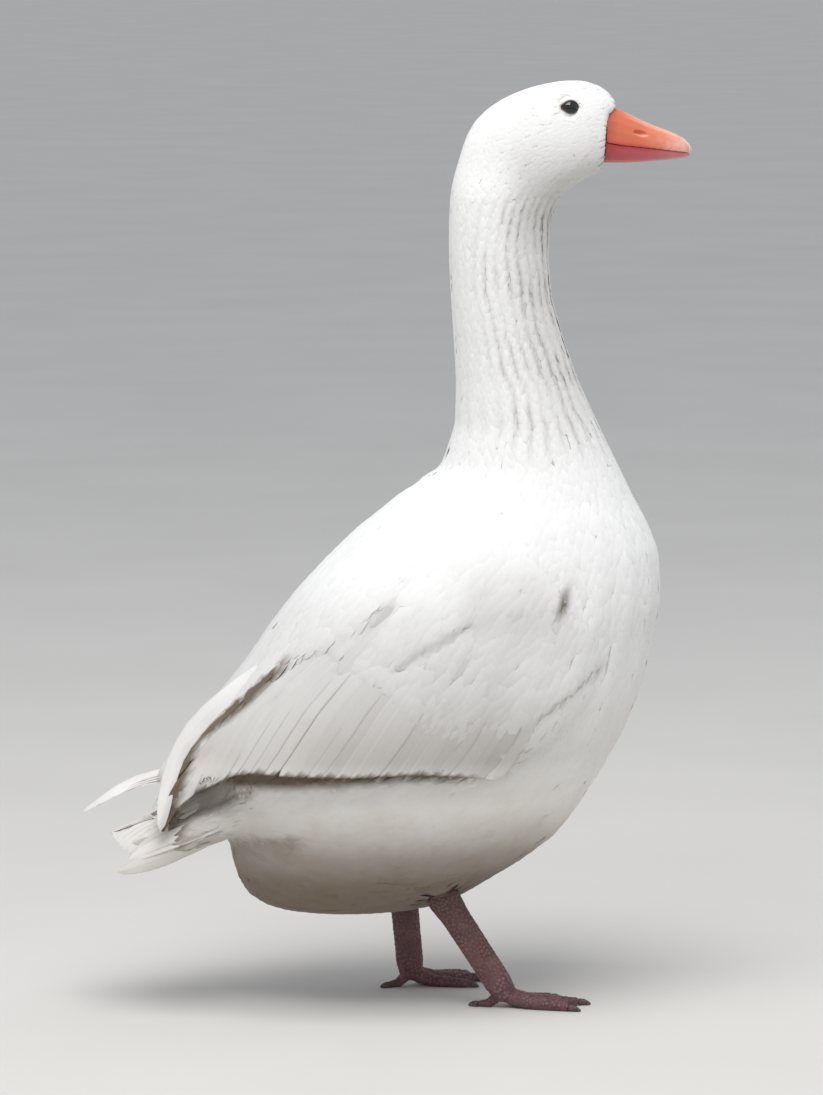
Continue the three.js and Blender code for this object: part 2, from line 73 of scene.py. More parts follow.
def add(tree, kind, sockets=None, ramp=(), give=None, **settings):
    """Adds a node with its settings. A socket takes a value, a hex colour, or another node's
    output to link. What comes back is the output that give names, or else the first in use."""
    made = tree.nodes.new("ShaderNode" + kind)
    for name, value in settings.items():
        setattr(made, name, value)
    for socket, value in (sockets or {}).items():
        if isinstance(value, bpy.types.NodeSocket):
            tree.links.new(value, made.inputs[socket])
        else:
            made.inputs[socket].default_value = linear(value) if isinstance(value, str) else value
    for stop, (place, colour) in enumerate(ramp):
        stops = made.color_ramp.elements
        mark = stops[stop] if stop < 2 else stops.new(place)
        mark.position = place
        mark.color = linear(colour)
    return made.outputs[give] if give else next(out for out in made.outputs if out.enabled)


def finish(name, **sockets):
    """A material with one principled shader, and the node tree that feeds it."""
    made = bpy.data.materials.new(name)
    made.use_nodes = True
    shader = made.node_tree.nodes["Principled BSDF"]
    for socket, value in sockets.items():
        shader.inputs[socket.replace("_", " ")].default_value = value
    return made, made.node_tree, shader


back = Vector((math.sin(SWING) * math.cos(RISE), -math.cos(SWING) * math.cos(RISE), math.sin(RISE)))
lens = bpy.data.cameras.new("visitor")
lens.sensor_width = 36
lens.lens = lens.sensor_width * AWAY / SEEN_HEIGHT
lens.clip_end = 400
camera = bpy.data.objects.new("visitor", lens)
camera.location = AIM + back * AWAY
camera.rotation_euler = (-back).to_track_quat("-Z", "Y").to_euler()
bpy.context.scene.collection.objects.link(camera)
bpy.context.scene.camera = camera
bpy.context.scene.view_settings.view_transform = "Standard"

world = bpy.data.worlds.new("surround")
bpy.context.scene.world = world
world.use_nodes = True
sky = world.node_tree.nodes["Background"]
sky.inputs["Color"].default_value = linear(SURROUND)
sky.inputs["Strength"].default_value = SURROUND_STRENGTH

lamp_data = bpy.data.lights.new("soft_lamp", "AREA")
lamp_data.size = LAMP_SIZE
lamp_data.energy = LAMP_WATTS
lamp = bpy.data.objects.new("soft_lamp", lamp_data)
lamp.location = LAMP_PLACE
lamp.rotation_euler = (LAMP_PLACE - AIM).to_track_quat("Z", "Y").to_euler()
bpy.context.scene.collection.objects.link(lamp)

# Plaster floated smooth and left bare: matt, with faint clouds a third of a metre across.
plaster, tree, shader = finish("smooth_plaster", Roughness=0.9)
place = add(tree, "TexCoord", give="Object")
cloud = add(tree, "TexNoise", {"Vector": place, "Scale": 3.0, "Detail": 4.0})
tint = add(tree, "ValToRGB", {"Fac": cloud}, [(0.3, "#D8D5CF"), (0.7, "#DDDAD4")])
tree.links.new(tint, shader.inputs["Base Color"])
sheet = bpy.data.meshes.new("floor")
corners = [(x * FLOOR_REACH, y * FLOOR_REACH, 0) for x, y in ((-1, -1), (1, -1), (1, 1), (-1, 1))]
sheet.from_pydata(corners, [], [(0, 1, 2, 3)])
sheet.materials.append(plaster)
floor = bpy.data.objects.new("floor", sheet)
bpy.context.scene.collection.objects.link(floor)

# ---------------------------------------------------------------------------
# The skin. One closed hide with no seam over head, neck, trunk, wings and the
# tail's root. It lies inside the solids of flesh by the depth of the coat, and
# the coat's outer face is the solids' own.
FLESH = [
    "head", "neck", "trunk", "tail", "thigh_right", "thigh_left",
    "wing_right", "wing_left", "tertials_right", "tertials_left",
]
HIDE_GRAIN = 3.0
HIDE_ROUNDS = 5
SEAM = 0.5
THIN_SHARE = 0.36
THICK_AT_MOST = 200.0
# The hide stops at this x under the tail fan, below this height.
TAIL_CUT = -190.0
TAIL_CUT_TOP = 215
EYES = [np.array((lo + hi) / 2 * 1000) for lo, hi in (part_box("eye_right"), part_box("eye_left"))]
FURROWS = 26
FURROW_DEEP = 1.3
# The notch before the right wing, sunk into the skin and darkened with painted shadow: x and z of its middle,
# then its half width and height.
NOTCH = (122.0, 334.0, 5.5, 13.0)

# Lines in the side view, as x and z. The gap lies under the tertials; on the left it is shifted
# forward as those are, and GAP_INNER says how far from the bird's middle it starts, by x.
GAP_LINE = np.array([
    (-84, 292), (-100, 280), (-128, 252), (-150, 234), (-163, 222), (-172, 203), (-180, 184),
    (-186, 166), (-191, 151),
])
GAP_INNER = np.array([(-190, 19), (-160, 23), (-127, 35), (-100, 46), (-60, 58)])
LEFT_SHIFT = np.array([26, 0, -2])
# The line along which the quills come out of the coat, and the wing's lower edge.
QUILL_LINE = np.array([
    (-188, 200), (-165, 232), (-140, 259), (-100, 294), (-60, 292), (-25, 264), (10, 226), (60, 210),
])
EDGE = np.array([
    (66, 197), (43, 200), (-2, 203), (-49, 201), (-95, 201), (-123, 202), (-140, 199), (-162, 183),
    (-182, 167), (-190, 152),
])
# How far from the bird's middle the wings begin on the rump, by x.
BROW = np.array([(-190, 26), (-60, 64)])
# The shaded lower side of the rump, and the crease between rump and tail.
LOW_LINE = np.array([
    (-226, 117), (-195, 123), (-167, 131), (-146, 139), (-110, 149), (-91, 151), (-56, 150), (0, 146),
])
TAIL_LINE = np.array([(-225, 125), (-212, 131), (-190, 147), (-167, 160), (-141, 171), (-122, 180)])
# Folds between groups of feathers: a line, how strong the fold is, and its half width.
FOLDS = [
    ([(46, 319), (10, 300), (-14, 285)], 1.0, 8), ([(42, 291), (31, 276)], 0.5, 7),
    ([(-14, 332), (-57, 282)], 0.8, 8), ([(-14, 392), (-50, 358), (-85, 318)], 0.5, 9),
    ([(155, 279), (103, 242), (75, 226), (47, 211)], 0.7, 9), ([(-57, 270), (-89, 235)], 0.9, 6),
    ([(-97, 263), (-137, 208)], 0.9, 6), ([(-22, 261), (-40, 222)], 0.8, 6),
    ([(70, 350), (52, 330)], 0.4, 7), ([(-70, 246), (-84, 214)], 0.6, 5),
    ([(-118, 236), (-140, 206)], 0.7, 5),
]
# Grey over the coat by height, most of it painted shade, with some soil on the belly: height, then share.
SHADE_AND_SOIL = np.array([
    (80, 0.95), (105, 0.9), (129, 0.67), (150, 0.28), (170, 0.04), (190, 0.06), (212, 0.42),
    (230, 0.38), (250, 0.32), (271, 0.28), (294, 0.24), (318, 0.18), (350, 0.03),
])


def fused(names, grow, grain, rounds):
    """Solids run together into one smooth closed mesh of small squares, in millimetres."""
    shell = bmesh.new()
    for name in names:
        shell.from_mesh(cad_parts[name].data)
    bmesh.ops.remove_doubles(shell, verts=shell.verts, dist=1e-6)
    shell.normal_update()
    for vertex in shell.verts:
        vertex.co += vertex.normal * grow / 1000
    blank = bpy.data.meshes.new("blank")
    shell.to_mesh(blank)
    shell.free()
    thing = bpy.data.objects.new("blank", blank)
    bpy.context.scene.collection.objects.link(thing)
    cast = thing.modifiers.new("cast", "REMESH")
    cast.mode = "VOXEL"
    cast.voxel_size = grain / 1000
    soften = thing.modifiers.new("soften", "SMOOTH")
    soften.factor = 0.5
    soften.iterations = rounds
    graph = bpy.context.evaluated_depsgraph_get()
    data = thing.evaluated_get(graph).to_mesh()
    points = np.zeros(len(data.vertices) * 3)
    data.vertices.foreach_get("co", points)
    quads = np.zeros(len(data.loops), int)
    data.loops.foreach_get("vertex_index", quads)
    bpy.data.objects.remove(thing)
    bpy.data.meshes.remove(blank)
    return kept_whole(points.reshape(-1, 3) * 1000, quads.reshape(-1, 4))


def kept_whole(points, quads):
    """The largest closed shell of a mesh, without the stray pockets left inside it."""
    mark = np.arange(len(points))
    ends = np.concatenate([quads[:, [0, 1]], quads[:, [1, 2]], quads[:, [2, 3]], quads[:, [3, 0]]])
    while True:
        low = np.minimum(mark[ends[:, 0]], mark[ends[:, 1]])
        before = mark.copy()
        np.minimum.at(mark, ends[:, 0], low)
        np.minimum.at(mark, ends[:, 1], low)
        mark = mark[mark]
        if (mark == before).all():
            break
    names, counts = np.unique(mark, return_counts=True)
    keep = mark == names[counts.argmax()]
    number = np.cumsum(keep) - 1
    return points[keep], number[quads[keep[quads[:, 0]]]]


def outward(points, quads):
    """Unit normals at a mesh's points, weighed by the size of the faces round them."""
    a, b, c, d = (points[quads[:, i]] for i in range(4))
    faces = np.cross(c - a, d - b)
    normals = np.zeros_like(points)
    for i in range(4):
        np.add.at(normals, quads[:, i], faces)
    return normals / (np.linalg.norm(normals, axis=1, keepdims=True) + 1e-12)


def fade(value, low, high):
    """0 below low, 1 above high, and smooth between them; low may be the larger."""
    share = np.clip((value - low) / (high - low), 0, 1)
    return share * share * (3 - 2 * share)


HULL, HULL_QUADS = fused(FLESH, SEAM, HIDE_GRAIN, HIDE_ROUNDS)
HULL_NORMALS = outward(HULL, HULL_QUADS)
HULL_TREE = BVHTree.FromPolygons(HULL.tolist(), HULL_QUADS.tolist())
neck_levels = np.arange(400, 700, 10.0)
neck_middle = np.array([HULL[abs(HULL[:, 2] - z) < 8][:, 0].mean() for z in neck_levels])


def furrow(points):
    """How deep the neck's pleats are at points, from 0 on a ridge to 1 in a valley."""
    x, y, z = points.T
    turn = np.arctan2(y, x - np.interp(z, neck_levels, neck_middle))
    wander = 0.9 * np.sin(z / 23 + 2.1 * turn) + 0.7 * np.sin(z / 11.3 - 3 * turn) + z / 60
    wave = 1 - np.abs(np.sin((FURROWS * turn + wander) / 2))
    patch = fade(np.sin(z / 15 + 4.2 * turn) * np.sin(z / 27 - 3.1 * turn + 1), -0.7, 0.5)
    length = fade(z, 668, 628) * fade(z, 425, 480) * (0.2 + 0.8 * fade(np.abs(turn), 2.6, 1.9))
    return wave**1.5 * (0.3 + 0.7 * patch) * length


def off_line(points, line):
    """How far points are from a line in the side view, and whether they are below it."""
    flat = points[:, [0, 2]]
    best = np.full(len(points), 1e9)
    under = np.zeros(len(points), bool)
    for start, end in zip(line[:-1], line[1:]):
        step = end - start
        share = np.clip(((flat - start) @ step) / (step @ step), 0, 1)
        off = flat - start - share[:, None] * step
        far = np.linalg.norm(off, axis=1)
        near = far < best
        best[near] = far[near]
        under[near] = (step[0] * off[near, 1] - step[1] * off[near, 0]) * np.sign(step[0]) < 0
    return best, under


def folds(points):
    """1 along the soft folds between groups of feathers on the bird's sides, else 0."""
    most = np.zeros(len(points))
    for line, strength, wide in FOLDS:
        far, _ = off_line(points, np.array(line, float))
        most = np.maximum(most, strength * fade(far, wide, 0))
    return most * fade(abs(points[:, 1]), 30, 50)


def notch(points):
    """1 at the middle of the notch before the right wing, falling to 0 round it. It sinks the skin there, and
    paints shadow into it.
    """
    x, y, z = points.T
    mid_x, mid_z, wide, tall = NOTCH
    mark = ((x - mid_x - 0.35 * (z - mid_z)) / wide) ** 2 + ((z - mid_z) / tall) ** 2
    return np.exp(-mark * 1.2) * (y < -60)


def off_gap(points):
    """How far points are from the gap under the tertials, and whether they are below it. On the
    left the gap lies as much farther forward as the left tertials do, and the rump has none."""
    there = points - np.outer(points[:, 1] > 0, LEFT_SHIFT)
    far, under = off_line(there, GAP_LINE)
    outside = abs(there[:, 1]) > np.interp(there[:, 0], *GAP_INNER.T) + 2
    return np.where(outside, far, 99), under


def along_gap(points):
    """1 along the length of the gap, falling to 0 at its upper end."""
    return fade(points[:, 0] - LEFT_SHIFT[0] * (points[:, 1] > 0), -80, -104)


def over_edge(points):
    """How far points are above the wing's lower edge in the side view; below it, less than 0."""
    far, under = off_line(points, EDGE)
    return np.where(under, -far, far)


def past_brow(points):
    """How far out points are on the rump from where the wings begin; within it, less than 0."""
    return abs(points[:, 1]) - np.interp(points[:, 0], *BROW.T)


def below_quills(points):
    """How far points lie below the line along which the quills come out of the coat."""
    return np.interp(points[:, 0], *QUILL_LINE.T) - points[:, 2]


def soiled(points):
    """Grey of painted shade, with some soil on the belly: most at the belly, some on the flanks;
    painted shade under the throat, down the front of the neck and on the lower side of the rump."""
    x, _, z = points.T
    grey = np.interp(z, *SHADE_AND_SOIL.T)
    grey *= 1 - 0.25 * fade(x, -60, -110) * (z > 190)
    grey *= 1 - 0.55 * fade(x, 50, 115) * fade(z, 185, 200) * fade(z, 310, 280)
    grey += 0.14 * fade(x, 20, 60) * fade(x, 150, 110) * fade(z, 300, 325) * fade(z, 375, 345)
    grey *= 1 - 0.55 * fade(x, 90, 160) * fade(z, 95, 150)
    front = x - np.interp(z, neck_levels, neck_middle)
    # Painted shade under the jaw and down the front of the neck.
    throat = 0.3 * fade(x, 76, 112) * fade(z, 570, 632) * fade(z, 704, 664)
    grey += np.maximum(throat, 0.17 * fade(front, -14, 22) * fade(z, 430, 510) * fade(z, 672, 630))
    # Painted shade on the lower side of the rump, under the low line.
    far, under = off_line(points, LOW_LINE)
    return np.maximum(grey, 0.72 * under * fade(far, 1, 7) * fade(x, -50, -95))


def marks(points):
    """Painted shade and soil that skin and coat share: painted shadow in the gap below the tertials,
    in the hollow under the wing's edge, in the notch and in the crease over the tail; painted shade
    with some soil by height; and painted shade along the folds and in the neck's pleats."""
    x, y, _ = points.T
    left = y > 0
    # Painted shadow in the gap under the tertials, in the hollow under the wing's edge, in the notch and in
    # the crease over the tail.
    far, under = off_gap(points)
    gap = fade(far, np.where(under, 7.5 - 1.5 * left, 4), 3) * along_gap(points)
    below = -over_edge(points)
    wide = np.interp(x, [-120, -75, -37, 40], [21, 17, 13, 9])
    full = np.interp(x, [-115, -75], [0.66, 0.5]) * wide - 1
    hollow = fade(below, wide, full) * (below > 0) * fade(abs(y), 18, 34) * fade(x, 72, 30)
    crease_shade = fade(off_line(points, TAIL_LINE)[0], 5, 1) * (abs(y) > 20)
    dark = [(0.97 - 0.35 * left) * gap, 0.95 * hollow, notch(points), 0.7 * crease_shade]
    # Painted shade with some soil by height, and painted shade along the folds.
    most = np.max(dark + [soiled(points), 0.4 * folds(points)], axis=0)
    # Painted shade in the valleys of the neck's pleats.
    return np.clip(most + 0.38 * furrow(points), 0, 1)


def coat_depth(points):
    """Depth of the coat over the skin: close on the head, deeper on the trunk, and deepest where
    the notch, the gap or the lapping quills need room."""
    x, _, z = points.T
    deep = 1.7 + 0.7 * fade(x, 90, 60) * fade(z, 350, 310) - 0.5 * fade(z, 420, 500) - 0.5 * fade(z, 640, 670)
    gap = fade(off_gap(points)[0], 7, 0) * along_gap(points)
    quills = fade(below_quills(points), -26, -6) * fade(over_edge(points), -8, 0) * fade(x, 70, 50)
    return deep + 7 * notch(points) + 4 * np.maximum(gap, quills * fade(past_brow(points), -6, 4))


def surface(name, points, faces, material):
    """A mesh object from points in millimetres; it rides on the bird's one body."""
    mesh = bpy.data.meshes.new(name)
    mesh.vertices.add(len(points))
    mesh.vertices.foreach_set("co", (np.asarray(points) / 1000).ravel())
    sides = faces.shape[1]
    mesh.loops.add(faces.size)
    mesh.loops.foreach_set("vertex_index", faces.ravel().astype(np.int32))
    mesh.polygons.add(len(faces))
    mesh.polygons.foreach_set("loop_start", np.arange(0, faces.size, sides, dtype=np.int32))
    mesh.update(calc_edges=True)
    mesh.polygons.foreach_set("use_smooth", np.ones(len(faces), bool))
    mesh.materials.append(material)
    piece = bpy.data.objects.new(name, mesh)
    bpy.context.scene.collection.objects.link(piece)
    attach(piece, "root")
    return piece


def marked(piece, name, values):
    """Stores one number for each point of a piece, for its material to read."""
    layer = piece.data.attributes.new(name, "FLOAT", "POINT")
    layer.data.foreach_set("value", np.asarray(values, np.float32))


thick = np.array([
    HULL_TREE.ray_cast(Vector(point - normal * 0.3), Vector(-normal))[3] or THICK_AT_MOST
    for point, normal in zip(HULL, HULL_NORMALS)
])
sunk = np.minimum(coat_depth(HULL) + FURROW_DEEP * furrow(HULL), THIN_SHARE * thick)
hide_points = HULL - HULL_NORMALS * sunk[:, None]
behind = (HULL[:, 2] < TAIL_CUT_TOP) & (HULL[:, 0] < TAIL_CUT)
hide_points[behind, 0] = TAIL_CUT - 2 + (HULL[behind, 0] - TAIL_CUT) * 0.04


def coloured(tree, shader, colour, relief):
    """Links a material's colour and its fine relief to the shader."""
    tree.links.new(colour, shader.inputs["Base Color"])
    tree.links.new(relief, shader.inputs["Normal"])


# Down over bare skin: dull, pale and tufted, greyer where the tone paints shade and soil.
down, tree, shader = finish("down_over_skin", Roughness=0.95)
place = add(tree, "TexCoord", give="Object")
# Down barbs 0.05 mm wide are too fine to show; the tufts are drawn 3 mm across.
tufts = add(tree, "TexNoise", {"Vector": place, "Scale": 330.0, "Detail": 3.0})
tint = add(tree, "ValToRGB", {"Fac": tufts}, [(0.3, "#CFCAC2"), (0.7, "#EAE7E1")])
tone = add(tree, "Attribute", attribute_name="tone", give="Fac")
# The tone mixes in grey-brown for painted shade and soil.
shaded = add(tree, "Mix", {"Factor": tone, 6: tint, 7: "#6F6254"}, data_type="RGBA")
ruffle = add(tree, "Bump", {"Height": tufts, "Strength": 0.5, "Distance": 0.001})
coloured(tree, shader, shaded, ruffle)
hide = surface("hide", hide_points, HULL_QUADS, down)
marked(hide, "tone", marks(HULL))
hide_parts(*FLESH)

# ---------------------------------------------------------------------------
# The contour coat. White body feathers, each a thin cambered vane on its own
# root in the skin: 9 to 10 mm long on the face, 16 mm on the neck and 25 to 34
# mm on the body. They lap like tiles and lie the way the bird preens them.
ROOT_SINK = 0.6
HOLD = 5.0
LID_CLEAR = 9.3
# The heights of the neck's two ends.
HEAD_FOOT = 655
NECK_FOOT = 440
# The side of the square in the unwrap that one feather's map takes.
PATCH = 0.003
# A body feather's outline: share of the length, then share of the greatest half width.
SMALL = [(0, 0), (0.2, 0.66), (0.5, 1), (0.76, 0.92), (0.93, 0.55), (1, 0)]
# A vane's section: place across it, then its upper or lower face.
FOUR_SIDED = [(-1, 0), (0, 1), (1, 0), (0, -1)]

# Where the coat lies which way: place x, |y|, z, then direction, then reach.
LIE = np.array([
    (140, 0, 735, -1, 0, 0.15, 22), (110, 0, 748, -1, 0, 0, 22), (75, 0, 740, -1, 0, -0.5, 22),
    (55, 0, 710, -0.6, 0, -1, 22), (50, 0, 670, -0.1, 0, -1, 22), (160, 20, 705, -1, 0.3, -0.1, 20),
    (140, 28, 700, -1, 0.25, -0.15, 20), (115, 30, 700, -1, 0, -0.25, 22), (90, 32, 690, -0.9, 0, -0.5, 22),
    (70, 30, 665, -0.4, 0, -1, 24), (150, 12, 675, -1, 0, -0.3, 18), (125, 10, 662, -0.9, 0, -0.6, 20),
    (105, 0, 645, -0.4, 0, -1, 22), (90, 25, 640, -0.2, 0, -1, 26),
    (50, 0, 600, 0, 0, -1, 40), (98, 0, 600, 0.03, 0, -1, 40), (75, 35, 600, 0, 0, -1, 40),
    (50, 0, 520, -0.05, 0, -1, 40), (128, 0, 520, 0.25, 0, -1, 40), (80, 42, 520, 0.06, 0, -1, 40),
    (40, 20, 445, -0.45, 0.2, -1, 35), (150, 20, 445, 0.5, 0.1, -1, 40), (95, 60, 445, 0.1, 0.5, -1, 40),
    (205, 0, 380, 0.5, 0, -1, 50), (222, 0, 300, 0.1, 0, -1, 50), (222, 0, 240, -0.15, 0, -1, 50),
    (205, 0, 180, -0.5, 0, -1, 45), (170, 0, 120, -0.9, 0, -0.8, 45), (190, 60, 380, 0.25, 0.4, -1, 50),
    (190, 80, 300, -0.15, 0.2, -1, 45), (180, 80, 230, -0.5, 0, -1, 45), (140, 80, 140, -1, -0.1, -0.6, 45),
    (110, 0, 88, -1, 0, -0.25, 50), (0, 0, 75, -1, 0, 0, 50), (-60, 0, 85, -1, 0, 0.25, 50),
    (-110, 0, 105, -1, 0, 0.35, 50), (60, 80, 110, -1, 0, -0.25, 45), (-40, 80, 110, -1, 0, 0.1, 45),
    (100, 100, 190, -0.85, 0, -0.6, 40), (0, 105, 175, -1, 0, -0.35, 40), (-80, 90, 165, -1, 0, -0.1, 40),
    (-130, 60, 150, -1, 0, -0.05, 40), (0, 0, 405, -1, 0, -0.9, 45), (-50, 0, 365, -1, 0, -0.95, 45),
    (-100, 0, 310, -1, 0, -0.9, 45), (-140, 0, 250, -1, 0, -0.95, 45), (-165, 0, 200, -1, 0, -0.8, 40),
    (-200, 0, 160, -1, 0, -0.4, 40), (-200, 35, 130, -1, 0, -0.25, 35), (95, 90, 385, -0.4, 0.3, -1, 45),
    (45, 100, 340, -0.75, 0.1, -1, 45), (-20, 95, 340, -0.8, 0.05, -0.95, 45),
    (-70, 80, 320, -0.85, 0, -0.8, 45), (-110, 70, 260, -0.85, 0, -0.75, 40),
    (-150, 60, 220, -0.75, 0, -0.85, 40), (95, 110, 280, -0.6, 0, -1, 40),
    (30, 115, 260, -0.6, 0, -1, 40), (-30, 112, 240, -0.55, 0, -1, 40), (-90, 105, 230, -0.65, 0, -0.9, 40),
    (-140, 90, 200, -0.8, 0, -0.75, 35), (-175, 60, 175, -0.55, 0, -1, 30),
])

# The bird's long axis from tail to bill, x and z: the coat is unwrapped round it.
AXIS = np.array([
    (-240, 128), (-150, 175), (0, 235), (70, 320), (85, 420), (75, 520), (70, 620), (95, 690), (190, 705),
])


def unit(vectors):
    """Vectors along the last axis, brought to length 1."""
    return vectors / (np.linalg.norm(vectors, axis=-1, keepdims=True) + 1e-9)


def lie(points, normals):
    """The way the coat lies at points, along the skin, parted round each eye."""
    near = points * [1, 0, 1] + np.abs(points) * [0, 1, 0]
    gap = ((near[:, None, :] - LIE[None, :, :3]) ** 2).sum(2)
    weight = np.exp(-gap / (2 * LIE[None, :, 6] ** 2)) + 1e-9
    way = weight @ LIE[:, 3:6] / weight.sum(1, keepdims=True)
    way[:, 1] *= np.where(points[:, 1] < 0, -1, 1)
    # Feathers part round each lid, 7 to 16 mm from the eye's middle, on its own side of the head.
    for eye in EYES:
        off = points - eye
        off -= normals * (off * normals).sum(1, keepdims=True)
        far = np.linalg.norm(off, axis=1, keepdims=True) + 1e-9
        same_side = np.linalg.norm(points - eye, axis=1, keepdims=True) < 26
        way += off / far * np.clip(1 - (far - 7) / 9, 0, 1) * same_side * 1.1
    return unit(way - normals * (way * normals).sum(1, keepdims=True))


def snapped(points, spare, hold):
    """The nearest places on the body's outer face, with smooth normals; a point that has
    left the body by more than hold stays where it is, and keeps its spare normal."""
    spots = points.copy()
    normals = spare.copy()
    for i, point in enumerate(points):
        spot, _, face, far = HULL_TREE.find_nearest(Vector(point))
        if far < hold:
            spots[i] = spot
            corners = HULL_QUADS[face]
            weight = 1 / (np.linalg.norm(HULL[corners] - spots[i], axis=1) + 0.3)
            blend = weight @ HULL_NORMALS[corners]
            normals[i] = blend / np.linalg.norm(blend)
    return spots, normals


def walked(roots, lengths, stations, turn):
    """Centrelines over the body from roots, stepping along the lie of the coat with a turn."""
    spots, normals = snapped(roots, np.zeros_like(roots), 1e9)
    line, up, way = [spots], [normals], None
    for low, high in zip(stations[:-1], stations[1:]):
        fresh = lie(spots, normals)
        fresh = unit(fresh - normals * (fresh * normals).sum(1, keepdims=True))
        fresh = fresh * np.cos(turn)[:, None] + np.cross(normals, fresh) * np.sin(turn)[:, None]
        step = (lengths * (high - low))[:, None]
        aim = spots + fresh * step
        landed, normals = snapped(aim, normals, HOLD)
        loose = np.linalg.norm(landed - aim, axis=1) < 1e-9
        if way is not None:
            landed[loose] = (spots + way * step)[loose]
        way = unit(landed - spots)
        spots = landed
        line.append(spots)
        up.append(normals)
    return np.stack(line, 1), np.stack(up, 1)


def unwrapped(points):
    """Places on the skin's own unwrap: round the long axis, and along it."""
    flat = points[:, [0, 2]]
    steps = np.diff(AXIS, axis=0)
    spans = np.linalg.norm(steps, axis=1)
    starts = np.concatenate([[0], np.cumsum(spans)])
    best = np.full(len(points), 1e9)
    along = np.zeros(len(points))
    side = np.zeros(len(points))
    for i, (step, span) in enumerate(zip(steps, spans)):
        share = np.clip(((flat - AXIS[i]) @ step) / span**2, 0, 1)
        foot = AXIS[i] + share[:, None] * step
        far = np.linalg.norm(flat - foot, axis=1)
        near = far < best
        best[near] = far[near]
        along[near] = (starts[i] + share * span)[near]
        across = np.array([-step[1], step[0]]) / span
        side[near] = ((flat - foot) @ across)[near]
    return np.stack([np.arctan2(points[:, 1], side) / (2 * math.pi) + 0.5, along / starts[-1]], 1)


def vanes(name, line, up, lengths, half, low, high, plan, material, camber, thickness, roll=0.0, tone=0.0,
          section=FOUR_SIDED, lift=None, slot="plumage", ease=0.4, tuck=0.0, soil=1.0, trim=None):
    """Feathers as one joined mesh of closed cambered vanes. Line and up are centre points and
    normals at the plan's stations; low and high are heights of root and tip off the coat's face."""
    count, rows = line.shape[:2]
    size = len(section)
    stations, widths = np.array(plan).T
    way = unit(np.gradient(line, axis=1))
    across = unit(np.cross(way, up))
    rise = stations**ease
    height = np.asarray(low)[..., None] * (1 - rise) + np.asarray(high)[..., None] * rise
    height = np.broadcast_to(height, (count, rows)).copy()
    height -= np.broadcast_to(tuck, (count,))[:, None] * fade(stations, 0.55, 1.0)[None]
    if lift is not None:
        height += lift(line)
    half, camber, roll, tone, soil = (np.broadcast_to(v, (count,)) for v in (half, camber, roll, tone, soil))
    points, rims, flats, places = [], [], [], []

    def corner(row, side, face):
        reach = half * widths[row] * side
        bow = -camber * side**2 * widths[row] + roll * reach + face * thickness / 2 * (1 - 0.35 * abs(side))
        points.append(
            line[:, row] + across[:, row] * reach[:, None] + up[:, row] * (height[:, row] + bow)[:, None]
        )
        rims.append(abs(side) if 0 < row < rows - 1 else 0.6)
        flats.append(np.tile([side * PATCH / 2, (stations[row] - 0.5) * PATCH], (count, 1)))
        places.append(np.stack([reach, stations[row] * lengths], 1))

    corner(0, 0, 0)
    for row in range(1, rows - 1):
        for side, face in section:
            corner(row, side, face)
    corner(rows - 1, 0, 0)
    faces = []
    for k in range(rows - 3):
        for j in range(size):
            a, b = 1 + k * size + j, 1 + k * size + (j + 1) % size
            faces += [(a, b, b + size), (a, b + size, a + size)]
    last = 1 + (rows - 3) * size
    for j in range(size):
        faces += [(0, 1 + (j + 1) % size, 1 + j), (last + size, last + j, last + (j + 1) % size)]
    points = np.stack(points, 1)
    if trim is not None:
        points = trim(points.reshape(-1, 3)).reshape(points.shape)
    faces = np.array(faces)
    a, b, c = (points[0, faces[:, i]] - points[0, 0] for i in range(3))
    if (a * np.cross(b, c)).sum() < 0:
        faces = faces[:, ::-1]
    per = points.shape[1]
    corners = (faces[None] + np.arange(count)[:, None, None] * per).reshape(-1, 3)
    flat = points.reshape(-1, 3)
    piece = surface(name, flat, corners, material)

    # The rims of the vanes are sharp, so that each keeps its own edge in the light.
    rim = np.zeros(per, bool)
    rim[[0, -1]] = True
    rim[1:-1:size] = rim[1 + size // 2 : -1 : size] = True
    rim = np.tile(rim, count)
    mesh = piece.data
    ends = np.zeros(len(mesh.edges) * 2, np.int32)
    mesh.edges.foreach_get("vertices", ends)
    ends = ends.reshape(-1, 2)
    sharp = mesh.attributes.new("sharp_edge", "BOOLEAN", "EDGE")
    sharp.data.foreach_set("value", rim[ends[:, 0]] & rim[ends[:, 1]])

    # Two maps: a small patch for each feather at its root's place, and its barbs in metres.
    home = unwrapped(line[:, 0])
    bottom, top = home[:, 1].min(), home[:, 1].max()
    home[:, 1] = (home[:, 1] - bottom) / max(top - bottom, 1e-6)
    home = 0.004 + home * 0.992
    patches = (np.stack(flats, 1) + home[:, None, :]).reshape(-1, 2)
    drawn = np.stack(places, 1).reshape(-1, 2) / 1000
    for layer, spots in (("OFBake", patches), ("Barbs", drawn)):
        mesh.uv_layers.new(name=layer)
        mesh.uv_layers[layer].data.foreach_set("uv", spots[corners.ravel()].astype(np.float32).ravel())
    # Each feather's tone: its own small random tone, and its share of the painted shade and soil that skin
    # and coat share.
    marked(piece, "tone", np.repeat(tone, per) + np.repeat(soil, per) * marks(flat))
    marked(piece, "edge", np.tile(rims, count))


